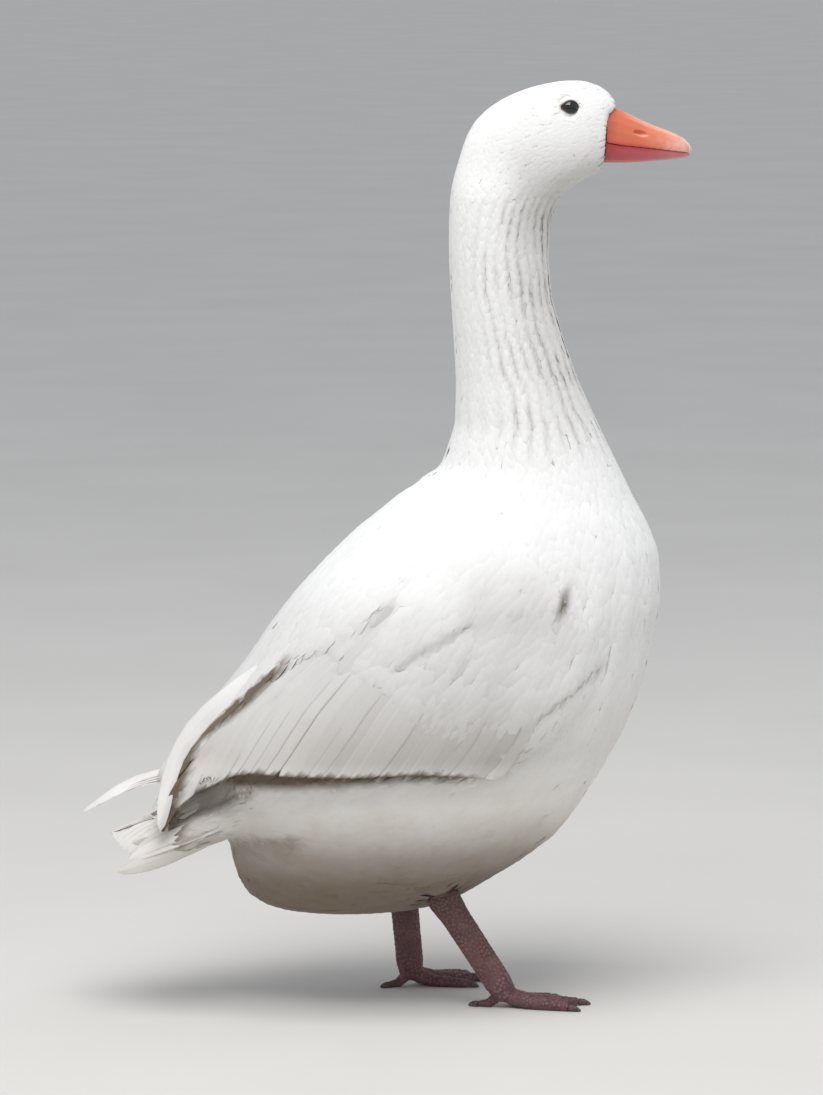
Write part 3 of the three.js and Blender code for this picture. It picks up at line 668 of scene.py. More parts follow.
def scattered(points, quads, spacing, allowed, seed):
    """Root places spread over a mesh, none nearer to another than the spacing there."""
    chance = np.random.default_rng(seed)
    a, b, c, d = (points[quads[:, i]] for i in range(4))
    area = np.linalg.norm(np.cross(c - a, d - b), axis=1) / 2
    middles = (a + b + c + d) / 4
    want = area / spacing(middles)**2 * allowed(middles)
    tries = int(want.sum() * 9)
    picks = chance.choice(len(quads), tries, p=want / want.sum())
    u, v = chance.random((2, tries, 1))
    spots = (a[picks] * (1 - u) + b[picks] * u) * (1 - v) + (d[picks] * (1 - u) + c[picks] * u) * v
    spots = spots[allowed(spots) > 0]
    gaps = spacing(spots)
    cells = np.floor(spots / gaps.max()).astype(int).tolist()
    near = list(itertools.product((-1, 0, 1), repeat=3))
    taken, kept = {}, []
    for i, ((x, y, z), (p, q, r), gap) in enumerate(zip(spots.tolist(), cells, (gaps**2).tolist())):
        if not any(
            (ox - x) ** 2 + (oy - y) ** 2 + (oz - z) ** 2 < gap
            for dp, dq, dr in near
            for ox, oy, oz in taken.get((p + dp, q + dq, r + dr), ())
        ):
            kept.append(i)
            taken.setdefault((p, q, r), []).append((x, y, z))
    return spots[kept]


def tree_of(names):
    """The outer faces of some solids, in millimetres, for finding what is near them."""
    corners, polygons = [], []
    for name in names:
        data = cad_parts[name].data
        start = len(corners)
        corners += [v.co * 1000 for v in data.vertices]
        polygons += [[start + i for i in face.vertices] for face in data.polygons]
    return BVHTree.FromPolygons(corners, polygons)


BILL_TREE = tree_of(["bill_upper", "bill_lower", "bill_nail"])
WING_TREE = tree_of(["wing_right", "wing_left", "tertials_right", "tertials_left"])
LEG_TREE = tree_of(["shank_right", "shank_left"])


def farther(tree, points, far):
    """Which points are farther than far from a tree's faces."""
    return np.array([tree.find_nearest(Vector(p), far)[0] is None for p in points], float)


def coat_size(points):
    """Spacing of the feathers' roots: close on the face, wide on the trunk."""
    z = points[:, 2]
    gap = 5.7 - 0.6 * fade(z, 340, 420) - 1.9 * fade(z, 420, 470) - 0.7 * fade(z, 640, 665)
    return gap + 0.7 * fade(z, 200, 120)


def off_eye(points, far):
    """1 where a point is clear of both eyes' lids, else 0."""
    return np.minimum(*[(np.linalg.norm(points - eye, axis=1) > far) * 1.0 for eye in EYES])


def barbed(tree, slant, apart):
    """The barbs of a vane as a wave across it, so far apart in metres, and the distance from the
    shaft. Barbs slope forward from the shaft by slant."""
    across = add(tree, "SeparateXYZ", {"Vector": add(tree, "UVMap", uv_map="Barbs")})
    shaft = add(tree, "Math", {0: across}, operation="ABSOLUTE")
    slope = add(tree, "Math", {0: shaft, 1: -slant, 2: across.node.outputs["Y"]}, operation="MULTIPLY_ADD")
    strand = add(tree, "Math", {0: slope, 1: 2 * math.pi / apart}, operation="MULTIPLY")
    return add(tree, "Math", {0: strand}, operation="SINE"), shaft


def dusted_and_shaded(tree, place, clouds, high, low, most, clean, cream):
    """White that is cream with dust below a height, from high to low in metres, and grey-brown with
    painted shade and soil where the tone says so; with the clouds that break the dust up."""
    above = add(tree, "SeparateXYZ", {"Vector": place}, give="Z")
    tone = add(tree, "Attribute", attribute_name="tone", give="Fac")
    cloud = add(tree, "TexNoise", {"Vector": place, "Scale": clouds, "Detail": 3.0})
    dust = add(tree, "MapRange", {"Value": above, "From Min": high, "From Max": low, "To Max": most})
    stain = add(tree, "Math", {0: dust, 1: cloud}, operation="MULTIPLY")
    white = add(tree, "Mix", {"Factor": stain, 6: clean, 7: cream}, data_type="RGBA")
    # The tone mixes in grey-brown for painted shade and soil.
    return add(tree, "Mix", {"Factor": tone, 6: white, 7: "#6A5A4A"}, data_type="RGBA"), cloud


# Preened body feathers: soft white keratin, matt with a faint sheen, finely combed by the barbs.
# Barbs leave the shaft 0.4 mm apart in life; they are drawn 0.9 mm apart so that they show.
plume, tree, shader = finish(
    "white_contour_plumage", Roughness=0.82, Sheen_Weight=0.12, Sheen_Roughness=0.5, IOR=1.45
)
place = add(tree, "TexCoord", give="Object")
comb, _ = barbed(tree, 0.9, 0.0009)
fluff = add(tree, "TexNoise", {"Vector": place, "Scale": 420.0, "Detail": 2.0})
height = add(tree, "Math", {0: comb, 1: 0.25, 2: fluff}, operation="MULTIPLY_ADD")
ruffle = add(tree, "Bump", {"Height": height, "Strength": 0.25, "Distance": 0.0004})
shaded, _ = dusted_and_shaded(tree, place, 38.0, 0.27, 0.09, 1.0, "#F7F6F3", "#CFC2AE")
coloured(tree, shader, shaded, ruffle)


def under_quills(points):
    """How far the coat is pressed down where quills lie over it, in millimetres."""
    outer = fade(past_brow(points), 0, 8) * fade(over_edge(points), -2, 6)
    return 4.8 * fade(below_quills(points), -5, 16) * (1 - farther(WING_TREE, points, 5.0)) * outer


def coat(name, allowed, long, wide, camber, tuck, thickness, seed):
    """One field of the contour coat: scattered, walked along the lie and built as vanes. Long,
    wide and camber are shares of the roots' spacing; tuck is how far the tips are pressed in."""
    chance = np.random.default_rng(seed)
    roots = scattered(HULL, HULL_QUADS, coat_size, allowed, seed)
    gap = coat_size(roots)
    # The fourth row of draws is spare.
    longer, wider, turn, _, shade, tighter = chance.standard_normal((6, len(roots)))
    lengths = gap * long * (1 + 0.1 * longer.clip(-2, 2))
    half = gap * wide * (1 + 0.08 * wider.clip(-2, 2))
    line, up = walked(roots, lengths, [p[0] for p in SMALL], 0.09 * turn)
    deep = (coat_depth(line[:, 0]) + ROOT_SINK) * (0.25 + 0.75 * farther(BILL_TREE, line[:, 0], 3.5))
    keep = off_eye(line[:, -1], LID_CLEAR + 0.1) > 0
    tucks = tuck * (gap / 7) * (1 + 0.25 * tighter.clip(-1.6, 1.6))

    def sunk_in(places):
        flat = places.reshape(-1, 3)
        sink = FURROW_DEEP * furrow(flat) + 1.6 * folds(flat) + under_quills(flat)
        return -sink.reshape(places.shape[:2])

    vanes(
        name, line[keep], up[keep], lengths[keep], half[keep], -deep[keep], 0.0, SMALL, plume,
        (camber * gap / 7)[keep], thickness, tone=0.02 * np.abs(shade[keep]), lift=sunk_in, tuck=tucks[keep],
    )


def on_head(points):
    """1 on the head, short of the bill and of the lids."""
    return (points[:, 2] > HEAD_FOOT) * farther(BILL_TREE, points, 0.7) * off_eye(points, LID_CLEAR)


def on_neck(points):
    """1 on the neck."""
    return ((points[:, 2] <= HEAD_FOOT) & (points[:, 2] > NECK_FOOT)) * 1.0


def clear_of_limbs(points):
    """1 where points are clear of the wings and the shanks, else 0."""
    return farther(WING_TREE, points, 1.5) * farther(LEG_TREE, points, 3)


def on_breast(points):
    """1 on the breast and the fore flanks, clear of the wings and legs."""
    return ((points[:, 2] <= NECK_FOOT) & (points[:, 0] > 60)) * clear_of_limbs(points)


def on_rear(points):
    """1 on the back, belly and rump, short of the tail fan and of all that the closed wings hide."""
    x, y, z = points.T
    top = (x > np.where((abs(y) < 27) & (z > 140), -190, -164)) | (z < 112 + 0.12 * (x + 230))
    hidden = (abs(y) > 30) & (x < -60) & (z > 214)
    hidden |= (over_edge(points) > 1) & (past_brow(points) > 0) & (x < 60) & (x > -188) & (z > 150)
    return ((z <= NECK_FOOT) & (x <= 60) & (x > -208) & top & ~hidden) * clear_of_limbs(points)


def on_wing(points):
    """1 on the closed wing above the quills' line and on its rim over the rump."""
    x, y, z = points.T
    outer = abs(y) > np.interp(x, [-190, -60], [30, 72])
    below = below_quills(points)
    hidden = outer & (((below > 13) & (x < 50)) | ((below > 8) & (x < -112)))
    rim = (abs(y) > 30) & (x < -60) & (z > 214)
    near = (1 - farther(WING_TREE, points, 1.5)) + rim * (1 - farther(WING_TREE, points, 7.0))
    return (near > 0) * (x > np.where(outer, -150, np.where(abs(y) < 27, -180, -168))) * ~hidden


coat("coat_head", on_head, 3.8, 0.88, 0.65, 1.3, 0.22, 11)
coat("coat_neck", on_neck, 5.0, 0.84, 0.8, 1.9, 0.25, 12)
coat("coat_breast", on_breast, 5.0, 0.95, 1.0, 2.2, 0.25, 13)
coat("coat_rear", on_rear, 5.0, 0.95, 1.0, 2.0, 0.25, 14)
coat("coat_wing", on_wing, 5.4, 0.95, 1.0, 2.0, 0.25, 15)

# ---------------------------------------------------------------------------
# The folded wings. Stiff flight feathers lapped in rows: secondaries along the
# lower edge, long tertials to the rear and scapulars from the shoulder, with
# the primaries' tips beyond them. Each quill grows from the wing's own edge.
EIGHT_SIDED = [(-1, 0), (-0.55, 1), (0, 1), (0.55, 1), (1, 0), (0.55, -1), (0, -1), (-0.55, -1)]
# A flight feather's outline, as a body feather's above, and the stations that it is built at.
OUTLINE = [
    (0, 0), (0.05, 0.35), (0.2, 0.72), (0.42, 0.96), (0.64, 1), (0.8, 0.88), (0.91, 0.65), (0.975, 0.36),
    (1, 0),
]
STATIONS = (
    0, 0.03, 0.07, 0.13, 0.2, 0.27, 0.34, 0.42, 0.5, 0.57, 0.64, 0.7, 0.76, 0.81, 0.86, 0.905, 0.945,
    0.975, 1,
)
LONG = [(share, np.interp(share, *zip(*OUTLINE))) for share in STATIONS]
# A tertial is broadest at half its length, with a hidden root.
BROAD = [
    (share, np.interp(share, [0, 0.15, 0.3, 0.5, 0.8, 0.91, 0.975, 1], [0, 0.15, 0.5, 1, 0.9, 0.65, 0.36, 0]))
    for share in STATIONS
]
SHEET_STEP = 4
ROUTE_STEPS = 61
SECONDARIES = 26
# The foremost and rearmost secondaries' lines in the side view, from root to tip.
FORE_QUILL = np.array([(98, 300), (84, 268), (66, 236), (43, 203)], float)
REAR_QUILL = np.array([
    (-72, 282), (-104, 266), (-131, 241), (-152, 220), (-167, 198), (-179, 177), (-190, 153),
], float)
# The lowest tertial's line, and how far above the gap its middle lies.
TERTIAL = np.array([
    (-40, 304), (-64, 297), (-84, 291), (-100, 280), (-128, 252), (-150, 234), (-163, 220), (-172, 203),
    (-180, 184), (-186, 166), (-190, 149),
], float)
TERTIAL_OFF = [14, 13, 12, 10.5, 8.5, 8, 8, 8, 6.5, 5, 4]
SCAPULAR_TIPS = [
    (98, 312), (64, 296), (29, 276), (6, 285), (-15, 283), (-36, 288), (-58, 280), (-80, 300),
    (70, 338), (40, 318), (0, 314), (-30, 316), (-66, 312), (40, 350), (5, 345), (-30, 342),
]


def nine(grid, **edges):
    """A grid's values with those of its eight neighbours, as nine grids."""
    framed = np.pad(grid, 1, **edges)
    tall, wide = grid.shape
    return np.stack([framed[i : i + tall, j : j + wide] for i in range(3) for j in range(3)])


def side_sheet(names, side):
    """How far out solids reach over the side view, carried on smoothly past their outline."""
    tree = tree_of(names)
    x, z = np.arange(-262.0, 170, SHEET_STEP), np.arange(84.0, 440, SHEET_STEP)
    out = np.full((len(x), len(z)), np.nan)
    for i, px in enumerate(x):
        for j, pz in enumerate(z):
            hit = tree.ray_cast(Vector((px, side * 400, pz)), Vector((0, -side, 0)))[0]
            if hit is not None and hit[1] * side > 8:
                out[i, j] = hit[1] * side
    while np.isnan(out).any():
        around = nine(out, constant_values=np.nan)
        known = ~np.isnan(around)
        mean = np.where(known, around, 0).sum(0) / np.maximum(known.sum(0), 1)
        out = np.where(np.isnan(out) & (known.sum(0) > 0), mean, out)
    for _ in range(3):
        out = nine(out, mode="edge").sum(0) / 9
    return x, z, out


def spans_of(line):
    """How far each point of a line is along it."""
    return np.concatenate([[0], np.cumsum(np.linalg.norm(np.diff(line, axis=0), axis=1))])


def laid(route, side, plan, sheet):
    """A feather's centreline over one side of the bird along a route from root to tip, with the
    ways up at its stations, and its length."""
    spans = spans_of(route)
    route = np.stack([np.interp(np.linspace(0, spans[-1], ROUTE_STEPS), spans, axis) for axis in route.T], 1)
    for _ in range(30):
        route[1:-1] = (route[:-2] + route[2:]) / 2
    x, z = (np.interp([p[0] for p in plan], np.linspace(0, 1, ROUTE_STEPS), axis) for axis in route.T)
    over, up, out = sheet
    slope_x, slope_z = np.gradient(out, float(SHEET_STEP))
    i, j = (x - over[0]) / SHEET_STEP, (z - up[0]) / SHEET_STEP
    a, b = i.astype(int), j.astype(int)
    u, v = i - a, j - b

    def read(field):
        low = field[a, b] * (1 - v) + field[a, b + 1] * v
        high = field[a + 1, b] * (1 - v) + field[a + 1, b + 1] * v
        return low * (1 - u) + high * u

    normals = np.stack([-read(slope_x).clip(-1, 1), side + 0 * x, -read(slope_z).clip(-1.2, 1.2)], 1)
    return np.stack([x, side * read(out), z], 1), normals, spans[-1]


def quills(name, feathers, half, low, high, plan=LONG, **how):
    """Stiff feathers as one piece, each given as its centreline, ways up and length."""
    line, up, longs = (np.array(part) for part in zip(*feathers))
    up = up / np.linalg.norm(up, axis=2, keepdims=True)
    how.update(section=EIGHT_SIDED, slot="flight_feathers")
    vanes(name, line, up, longs, half, low, high, plan, flight, **how)


def quill_row(name, routes, half, low, high, roll, sheets, seed, left, camber=1.0, **how):
    """Long feathers along routes on both sides of the bird, the left a little unlike the right."""
    chance = np.random.default_rng(seed)
    plan = how.get("plan", LONG)
    feathers = []
    for side in (-1, 1):
        for route in routes:
            moved = np.array(route) + chance.normal(0, 0.8, 2) + (side > 0) * np.array(left)
            feathers.append(laid(moved, side, plan, sheets[side]))
    half, low, high, roll = (np.tile(np.broadcast_to(v, (len(routes),)), 2) for v in (half, low, high, roll))
    roll = -roll * np.repeat([-1.0, 1.0], len(routes))
    tone = 0.04 * np.abs(chance.standard_normal(len(feathers)))
    quills(name, feathers, half, low, high, roll=roll, tone=tone, camber=camber, thickness=0.6, **how)


def along_edge(shares):
    """Places in the side view at shares of the wing's lower edge."""
    spans = spans_of(EDGE)
    return np.stack([np.interp(shares * spans[-1], spans, axis) for axis in EDGE.T], 1)


def between(first, last, tips):
    """Routes that turn from the first line to the last, each ending at its own tip."""
    share = np.linspace(0, 1, 9)
    a, b = (
        np.stack([np.interp(share, np.linspace(0, 1, len(line)), axis) for axis in line.T], 1) - line[-1]
        for line in (first, last)
    )
    mixes = np.linspace(0, 1, len(tips)) ** 0.8
    return [tip + (1 - mix) * a + mix * b for tip, mix in zip(tips, mixes)]


def beside(line, off):
    """A line in the side view moved off to its left by some millimetres."""
    way = np.gradient(line, axis=0)
    way /= np.linalg.norm(way, axis=1, keepdims=True)
    return line + np.reshape(off, (-1, 1)) * np.stack([way[:, 1], -way[:, 0]], 1)


def evened(points):
    """The ends of the secondaries, drawn back to the wing's even lower edge."""
    far, under = off_line(points, EDGE)
    slope = [off_line(points + 0.5 * np.eye(3)[axis], EDGE)[0] - far for axis in range(3)]
    over = (far - 1.5 * (1 - np.exp(-far / 1.5))) * under
    return points - np.stack(slope, 1) / 0.5 * over[:, None]


# Flight feathers: stiff white keratin, smoother than the coat, with a raised pale shaft, and rims
# darkened with grime and painted shade. Their barbs lie 0.5 mm apart in life; they are drawn 1.1 mm apart.
flight, tree, shader = finish(
    "white_flight_feather", Roughness=0.7, Sheen_Weight=0.08, Sheen_Roughness=0.5, IOR=1.45
)
place = add(tree, "TexCoord", give="Object")
comb, shaft = barbed(tree, 1.1, 0.0011)
quill = add(
    tree, "MapRange", {"Value": shaft, "From Min": 0.0007, "From Max": 0.0014, "To Min": 1.0, "To Max": 0.0}
)
height = add(tree, "Math", {0: quill, 1: 2.5, 2: comb}, operation="MULTIPLY_ADD")
ruffle = add(tree, "Bump", {"Height": height, "Strength": 0.3, "Distance": 0.0003})
shaded, cloud = dusted_and_shaded(tree, place, 30.0, 0.30, 0.13, 0.9, "#F6F5F2", "#D3C8B8")
# The vanes' rims are darkened, for grime and for painted shade where they lap.
edge = add(tree, "Attribute", attribute_name="edge", give="Fac")
rim_shade_and_grime = add(tree, "MapRange", {"Value": edge, "From Min": 0.82, "From Max": 1.0, "To Max": 0.55})
shade_and_grime = add(tree, "Math", {0: rim_shade_and_grime, 1: cloud}, operation="MULTIPLY")
rims_shaded_and_grimy = add(tree, "Mix", {"Factor": shade_and_grime, 6: shaded, 7: "#8E857B"}, data_type="RGBA")
coloured(tree, shader, rims_shaded_and_grimy, ruffle)

SIDES = ((-1, "right"), (1, "left"))
WING_SHEETS = {side: side_sheet([f"wing_{name}", f"tertials_{name}"], side) for side, name in SIDES}
BODY_SHEETS = {
    side: side_sheet(["trunk", "tail", f"wing_{name}", f"tertials_{name}"], side) for side, name in SIDES
}
tips = along_edge(np.linspace(0.02, 0.995, SECONDARIES)) - (3, 8)
half = np.linspace(11, 9.5, SECONDARIES)
high = np.interp(np.linspace(0, 1, SECONDARIES), [0.6, 1], [0.2, 1.8])
quill_row(
    "secondaries", between(FORE_QUILL, REAR_QUILL, tips), half, -4.5, high, -0.05, WING_SHEETS, 21, (13, 1),
    camber=0.6, tuck=0.3, trim=evened,
)
quill_row(
    "tertials", [beside(TERTIAL, TERTIAL_OFF)], 9.3, -8, 3.6, -0.03, WING_SHEETS, 24, LEFT_SHIFT[[0, 2]],
    soil=0.2, ease=0.78, plan=BROAD,
)


def slanted(tip):
    """A scapular's straight route down to its tip; those of the shoulder lie steeper."""
    turn = math.radians(np.interp(tip[0], [-86, 98], [44, 66]))
    way = np.array([math.cos(turn), math.sin(turn)])
    return [np.array(tip, float) + far * way for far in (88.0, 44.0, 0.0)]


routes = [slanted(tip) for tip in SCAPULAR_TIPS]
quill_row("scapulars", routes, 10.0, -4.2, 0.1, 0.02, BODY_SHEETS, 25, (0, 0), tuck=0.9)

# The primaries' tips reach past the folded wing on each side of the rump, as
# narrow stiff blades stacked flat. The left ones stand out beyond the tail.
PRIMARY_LEFT = np.array([
    (-109, 56, 205), (-150, 50, 193), (-181, 45, 182.5), (-198, 41, 179.5), (-214, 38, 173.5),
    (-229, 34, 165), (-246, 30, 155.5),
])
PRIMARY_RIGHT = np.array([(-109, -50, 210), (-152, -39, 196), (-176, -31, 176), (-190, -27, 155)], float)
SHORTER = (0, 9, 20, 34)
blades = []
for route, side in ((PRIMARY_LEFT, 1), (PRIMARY_RIGHT, -1)):
    spans = spans_of(route)
    for i, short in enumerate(SHORTER):
        far = np.array(STATIONS) * (spans[-1] - short)
        line = np.stack([np.interp(far, spans, axis) for axis in route.T], 1)
        line[:, 1] -= side * i * 2.5
        line[:, 2] += (1.5 - i) * 1.7 * (1 - (far / spans[-1]) ** 3)
        way = np.gradient(line, axis=0)
        blades.append((line, np.cross(way, np.cross([0, 0, 1], way)), spans[-1] - short))
# Shares of the painted shade and soil: little on the left blades, most on the right ones, in the painted
# shadow under the wing's edge.
shade_and_grime = np.repeat([0.05, 0.8], len(SHORTER))
quills("primaries", blades, 10.5, 0.0, 0.0, camber=1.2, thickness=1.7, soil=shade_and_grime)
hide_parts("primaries_right", "primaries_left")

# ---------------------------------------------------------------------------
# The tail. Sixteen broad rounded feathers in an arched fan, the middle pair on
# top, and two low ones on each side, all rooted in the rump under the coat.
TAIL_SIDE = 8
TAIL_ROOT = -134
TAIL_END = -227
TAIL_TREE = tree_of(["tail"])
fan = []
for side in (-1, 1):
    for i in range(TAIL_SIDE):
        share = (i + 0.45) / TAIL_SIDE
        end = TAIL_END + 15 * share**2
        x = TAIL_ROOT + (end - TAIL_ROOT) * np.array(STATIONS)
        y = side * share * np.interp(-x, [98, 227], [34, 38.5])
        top = []
        for px, py in zip(x, y):
            hit = TAIL_TREE.ray_cast(Vector((max(px, -224), py, 400)), Vector((0, 0, -1)))[0]
            top.append((hit or TAIL_TREE.find_nearest(Vector((px, py, 150)))[0])[2])
        line = np.stack([x, y, top], 1)
        line[:, 2] -= np.interp(STATIONS, [0, 0.3, 1], [6, 1.4, 0.8]) + 0.5 * i
        up = np.stack([0.25 + 0 * x, side * (0.12 + 0.95 * share) + 0 * x, 1 + 0 * x], 1)
        fan.append((line, up, TAIL_ROOT - end))
tilt = np.repeat([0.06, -0.06], TAIL_SIDE)
quills("tail_feathers", fan, 11.5, 0.0, 0.0, camber=0.8, thickness=0.9, roll=tilt, soil=0.25)

# The outermost tail feathers lie low along the rump, cream with a pale lower rim.
TAIL_SIDES = [
    [(-106, 158), (-133, 152), (-167, 140), (-195, 130), (-224, 120)],
    [(-104, 171), (-125, 165), (-157, 153), (-190, 139), (-217, 126)],
]
TAIL_SHEETS = {side: side_sheet(["tail"], side) for side in (-1, 1)}
quill_row(
    "tail_sides", TAIL_SIDES, [8.0, 8.5], -6, [3.0, 2.2], -0.05, TAIL_SHEETS, 26, (14, 5), soil=0.1, ease=0.5
)

# ---------------------------------------------------------------------------
# The eyes. Wet glassy globes with a dark brown iris, set in the head as deep as
# real ones, each in a thick almond lid of bare dusky skin, pointed to the rear.
GLOBE = 8.6
# The iris ends this many degrees from the globe's middle, and the cornea stands out by BULGE.
IRIS_RIM = 62
BULGE = 0.25
LID_LONG = 5.3
LID_HIGH = 4.1
LID_POINTS = 64
# The lid's section from the globe outward: past the opening, above the globe's face,
# below the coat's outer face, and how bare its skin is.
LID_ROWS = [
    (-0.25, -0.5, None, 1), (0.0, 0.25, None, 1), (0.4, 0.75, None, 1), (0.9, 0.85, None, 1),
    (1.3, 0.6, None, 0.9), (1.7, 0.35, None, 0.5), (2.2, 0.45, None, 0.1), (3.0, 0.2, 0.35, 0),
    (4.2, None, 0.5, 0), (5.6, None, 1.1, 0), (6.6, None, 2.4, 0), (5.0, None, 3.2, 0),
]

# A wet cornea over a black pupil: mirror-bright, with a thin brown iris of fine fibres round it.
globe_finish, tree, shader = finish(
    "wet_eye", Roughness=0.08, IOR=1.376, Coat_Weight=1.0, Coat_Roughness=0.02
)
gaze = add(tree, "Attribute", attribute_name="gaze", give="Fac")
ring = add(tree, "ValToRGB", {"Fac": gaze}, [
    (0.0, "#050404"), (0.42, "#070505"), (0.47, "#2E1C12"), (0.75, "#3A2417"), (0.85, "#120C09"),
    (1.0, "#1B1512"),
])
place = add(tree, "TexCoord", give="Object")
fibres = add(tree, "TexNoise", {"Vector": place, "Scale": 900.0, "Detail": 2.0})
iris = add(tree, "Mix", {"Factor": fibres, 6: ring, 7: "#0A0706"}, data_type="RGBA")
tree.links.new(iris, shader.inputs["Base Color"])

# Bare lid skin, dusky and half dull, pebbled at about half a millimetre; white down beyond it.
lid_finish, tree, shader = finish("bare_lid_skin", Roughness=0.55, IOR=1.4)
place = add(tree, "TexCoord", give="Object")
pebble = add(tree, "TexVoronoi", {"Vector": place, "Scale": 1800.0})
tint = add(tree, "ValToRGB", {"Fac": pebble}, [(0.1, "#4A3C36"), (0.8, "#2E2421")])
bare = add(tree, "Attribute", attribute_name="bare", give="Fac")
downy = add(tree, "Mix", {"Factor": bare, 6: "#E9E6E1", 7: tint}, data_type="RGBA")
ruffle = add(tree, "Bump", {"Height": pebble, "Strength": 0.4, "Distance": 0.0002})
coloured(tree, shader, downy, ruffle)


def closed_ring(rows, around):
    """Quads of a tube of rows, each with so many points round it, whose last row meets its first."""
    return np.array([
        (r * around + j, r * around + k, (r + 1) % rows * around + k, (r + 1) % rows * around + j)
        for r in range(rows)
        for j, k in ((j, (j + 1) % around) for j in range(around))
    ])


for side, centre, node in ((-1, EYES[0], "eye_right"), (1, EYES[1], "eye_left")):
    axis = np.array([0.16, side * 1.0, 0.06])
    axis /= np.linalg.norm(axis)
    fore = np.cross([0, 0, 1], axis) * -side
    fore /= np.linalg.norm(fore)
    high = np.cross(axis, fore) * side
    high = high if high[2] > 0 else -high
    turn = np.stack([fore, high, axis], 1)
    globe = bmesh.new()
    bmesh.ops.create_uvsphere(globe, u_segments=48, v_segments=32, radius=1.0)
    gazes, spots = [], []
    for vertex in globe.verts:
        spot = np.array(vertex.co)
        gazes.append(math.acos(max(-1, min(1, spot[2]))) / math.radians(IRIS_RIM))
        spots.append((centre + turn @ spot * (GLOBE + BULGE * max(0.0, spot[2]) ** 12)) / 1000)
    # The left globe is the right one mirrored, so its faces turn round. The sphere comes with its
    # faces in no fixed order, so they are sorted, each from its lowest corner.
    faces = []
    for face in globe.faces:
        ring = [vertex.index for vertex in face.verts][:: -side]
        first = ring.index(min(ring))
        faces.append(ring[first:] + ring[:first])
    globe.free()
    mesh = bpy.data.meshes.new("globe")
    mesh.from_pydata(spots, [], sorted(faces))
    mesh.polygons.foreach_set("use_smooth", np.ones(len(faces), bool))
    mesh.materials.append(globe_finish)
    eye = bpy.data.objects.new("globe_" + node[4:], mesh)
    bpy.context.scene.collection.objects.link(eye)
    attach(eye, "root")
    marked(eye, "gaze", np.clip(gazes, 0, 1))
    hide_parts(node)

    points, bare = [], []
    for past, over, below, skin in LID_ROWS:
        for j in range(LID_POINTS):
            a = 2 * math.pi * j / LID_POINTS
            rear, front = max(0.0, -math.cos(a)) ** 6, max(0.0, math.cos(a)) ** 8
            long = math.cos(a) * (LID_LONG + 1.5 * rear + 0.7 * front)
            tall = math.sin(a) * LID_HIGH + 0.8
            out = (long * fore + tall * high) / math.hypot(long, tall)
            far = math.hypot(long, tall) + past
            heights = []
            if over is not None:
                heights.append(math.sqrt(max(0.0, GLOBE**2 - min(far, 7.6) ** 2)) + over)
            if below is not None:
                hit = HULL_TREE.ray_cast(Vector(centre + out * far + axis * 30), Vector(-axis))[0]
                heights.append((np.array(hit) - centre) @ axis - below)
            points.append(centre + out * far + axis * max(heights))
            bare.append(skin)
    lid = surface("lid_" + node[4:], np.array(points), closed_ring(len(LID_ROWS), LID_POINTS), lid_finish)
    marked(lid, "bare", bare)

# ---------------------------------------------------------------------------
# The bill. Horn over bone, orange above and pinker below, paler to the nail at
# the tip. It is grown in one with the skull, with a slit nostril and a row of
# small teeth along the cutting edge.
BILL_ROOT = np.array([174.2, 0.0, 699.3])
BILL_PITCH = math.radians(-12.5)
BILL_GRAIN = 0.75
NAIL_GRAIN = 0.5
BILL_LONG = 74.5
# The line where the two halves meet: along the bill, then up from its axis.
MOUTH = np.array([(0, -6), (9, -6), (19, -4.9), (39, -2.8), (59, -1), (74.5, 0.6)])


def bill_place(points):
    """Along and up the bill, in millimetres from its root."""
    x, z = points[:, 0] - BILL_ROOT[0], points[:, 2] - BILL_ROOT[2]
    c, s = math.cos(BILL_PITCH), math.sin(BILL_PITCH)
    return x * c + z * s, -x * s + z * c


def horn(name, ramp, edge, mottle):
    """Waxy horn, half bright, coloured by a ramp from root to tip: blotched, reddened along the
    mouth, with a painted highlight where the crest faces up. Horn is pitted at about 0.6 mm."""
    made, tree, shader = finish(name, Roughness=0.4, IOR=1.54, Coat_Weight=0.3, Coat_Roughness=0.25)
    place = add(tree, "TexCoord", give="Object")
    along, rim, crest_highlight = (
        add(tree, "Attribute", attribute_name=read, give="Fac") for read in ("along", "rim", "crest_highlight")
    )
    blotch = add(tree, "TexNoise", {"Vector": place, "Scale": 160.0, "Detail": 4.0})
    pits = add(tree, "TexNoise", {"Vector": place, "Scale": 1500.0, "Detail": 2.0})
    grown = add(tree, "ValToRGB", {"Fac": along}, ramp)
    patchy = add(tree, "MapRange", {"Value": blotch, "From Min": 0.35, "From Max": 0.7, "To Max": 0.45})
    warm = add(tree, "Mix", {"Factor": patchy, 6: grown, 7: mottle}, data_type="RGBA")
    red = add(tree, "Mix", {"Factor": rim, 6: warm, 7: edge}, data_type="RGBA")
    # A painted highlight where the crest faces up.
    light = add(tree, "Mix", {"Factor": crest_highlight, 6: red, 7: "#F4CDB6"}, data_type="RGBA")
    ruffle = add(tree, "Bump", {"Height": pits, "Strength": 0.25, "Distance": 0.0003})
    coloured(tree, shader, light, ruffle)
    return made


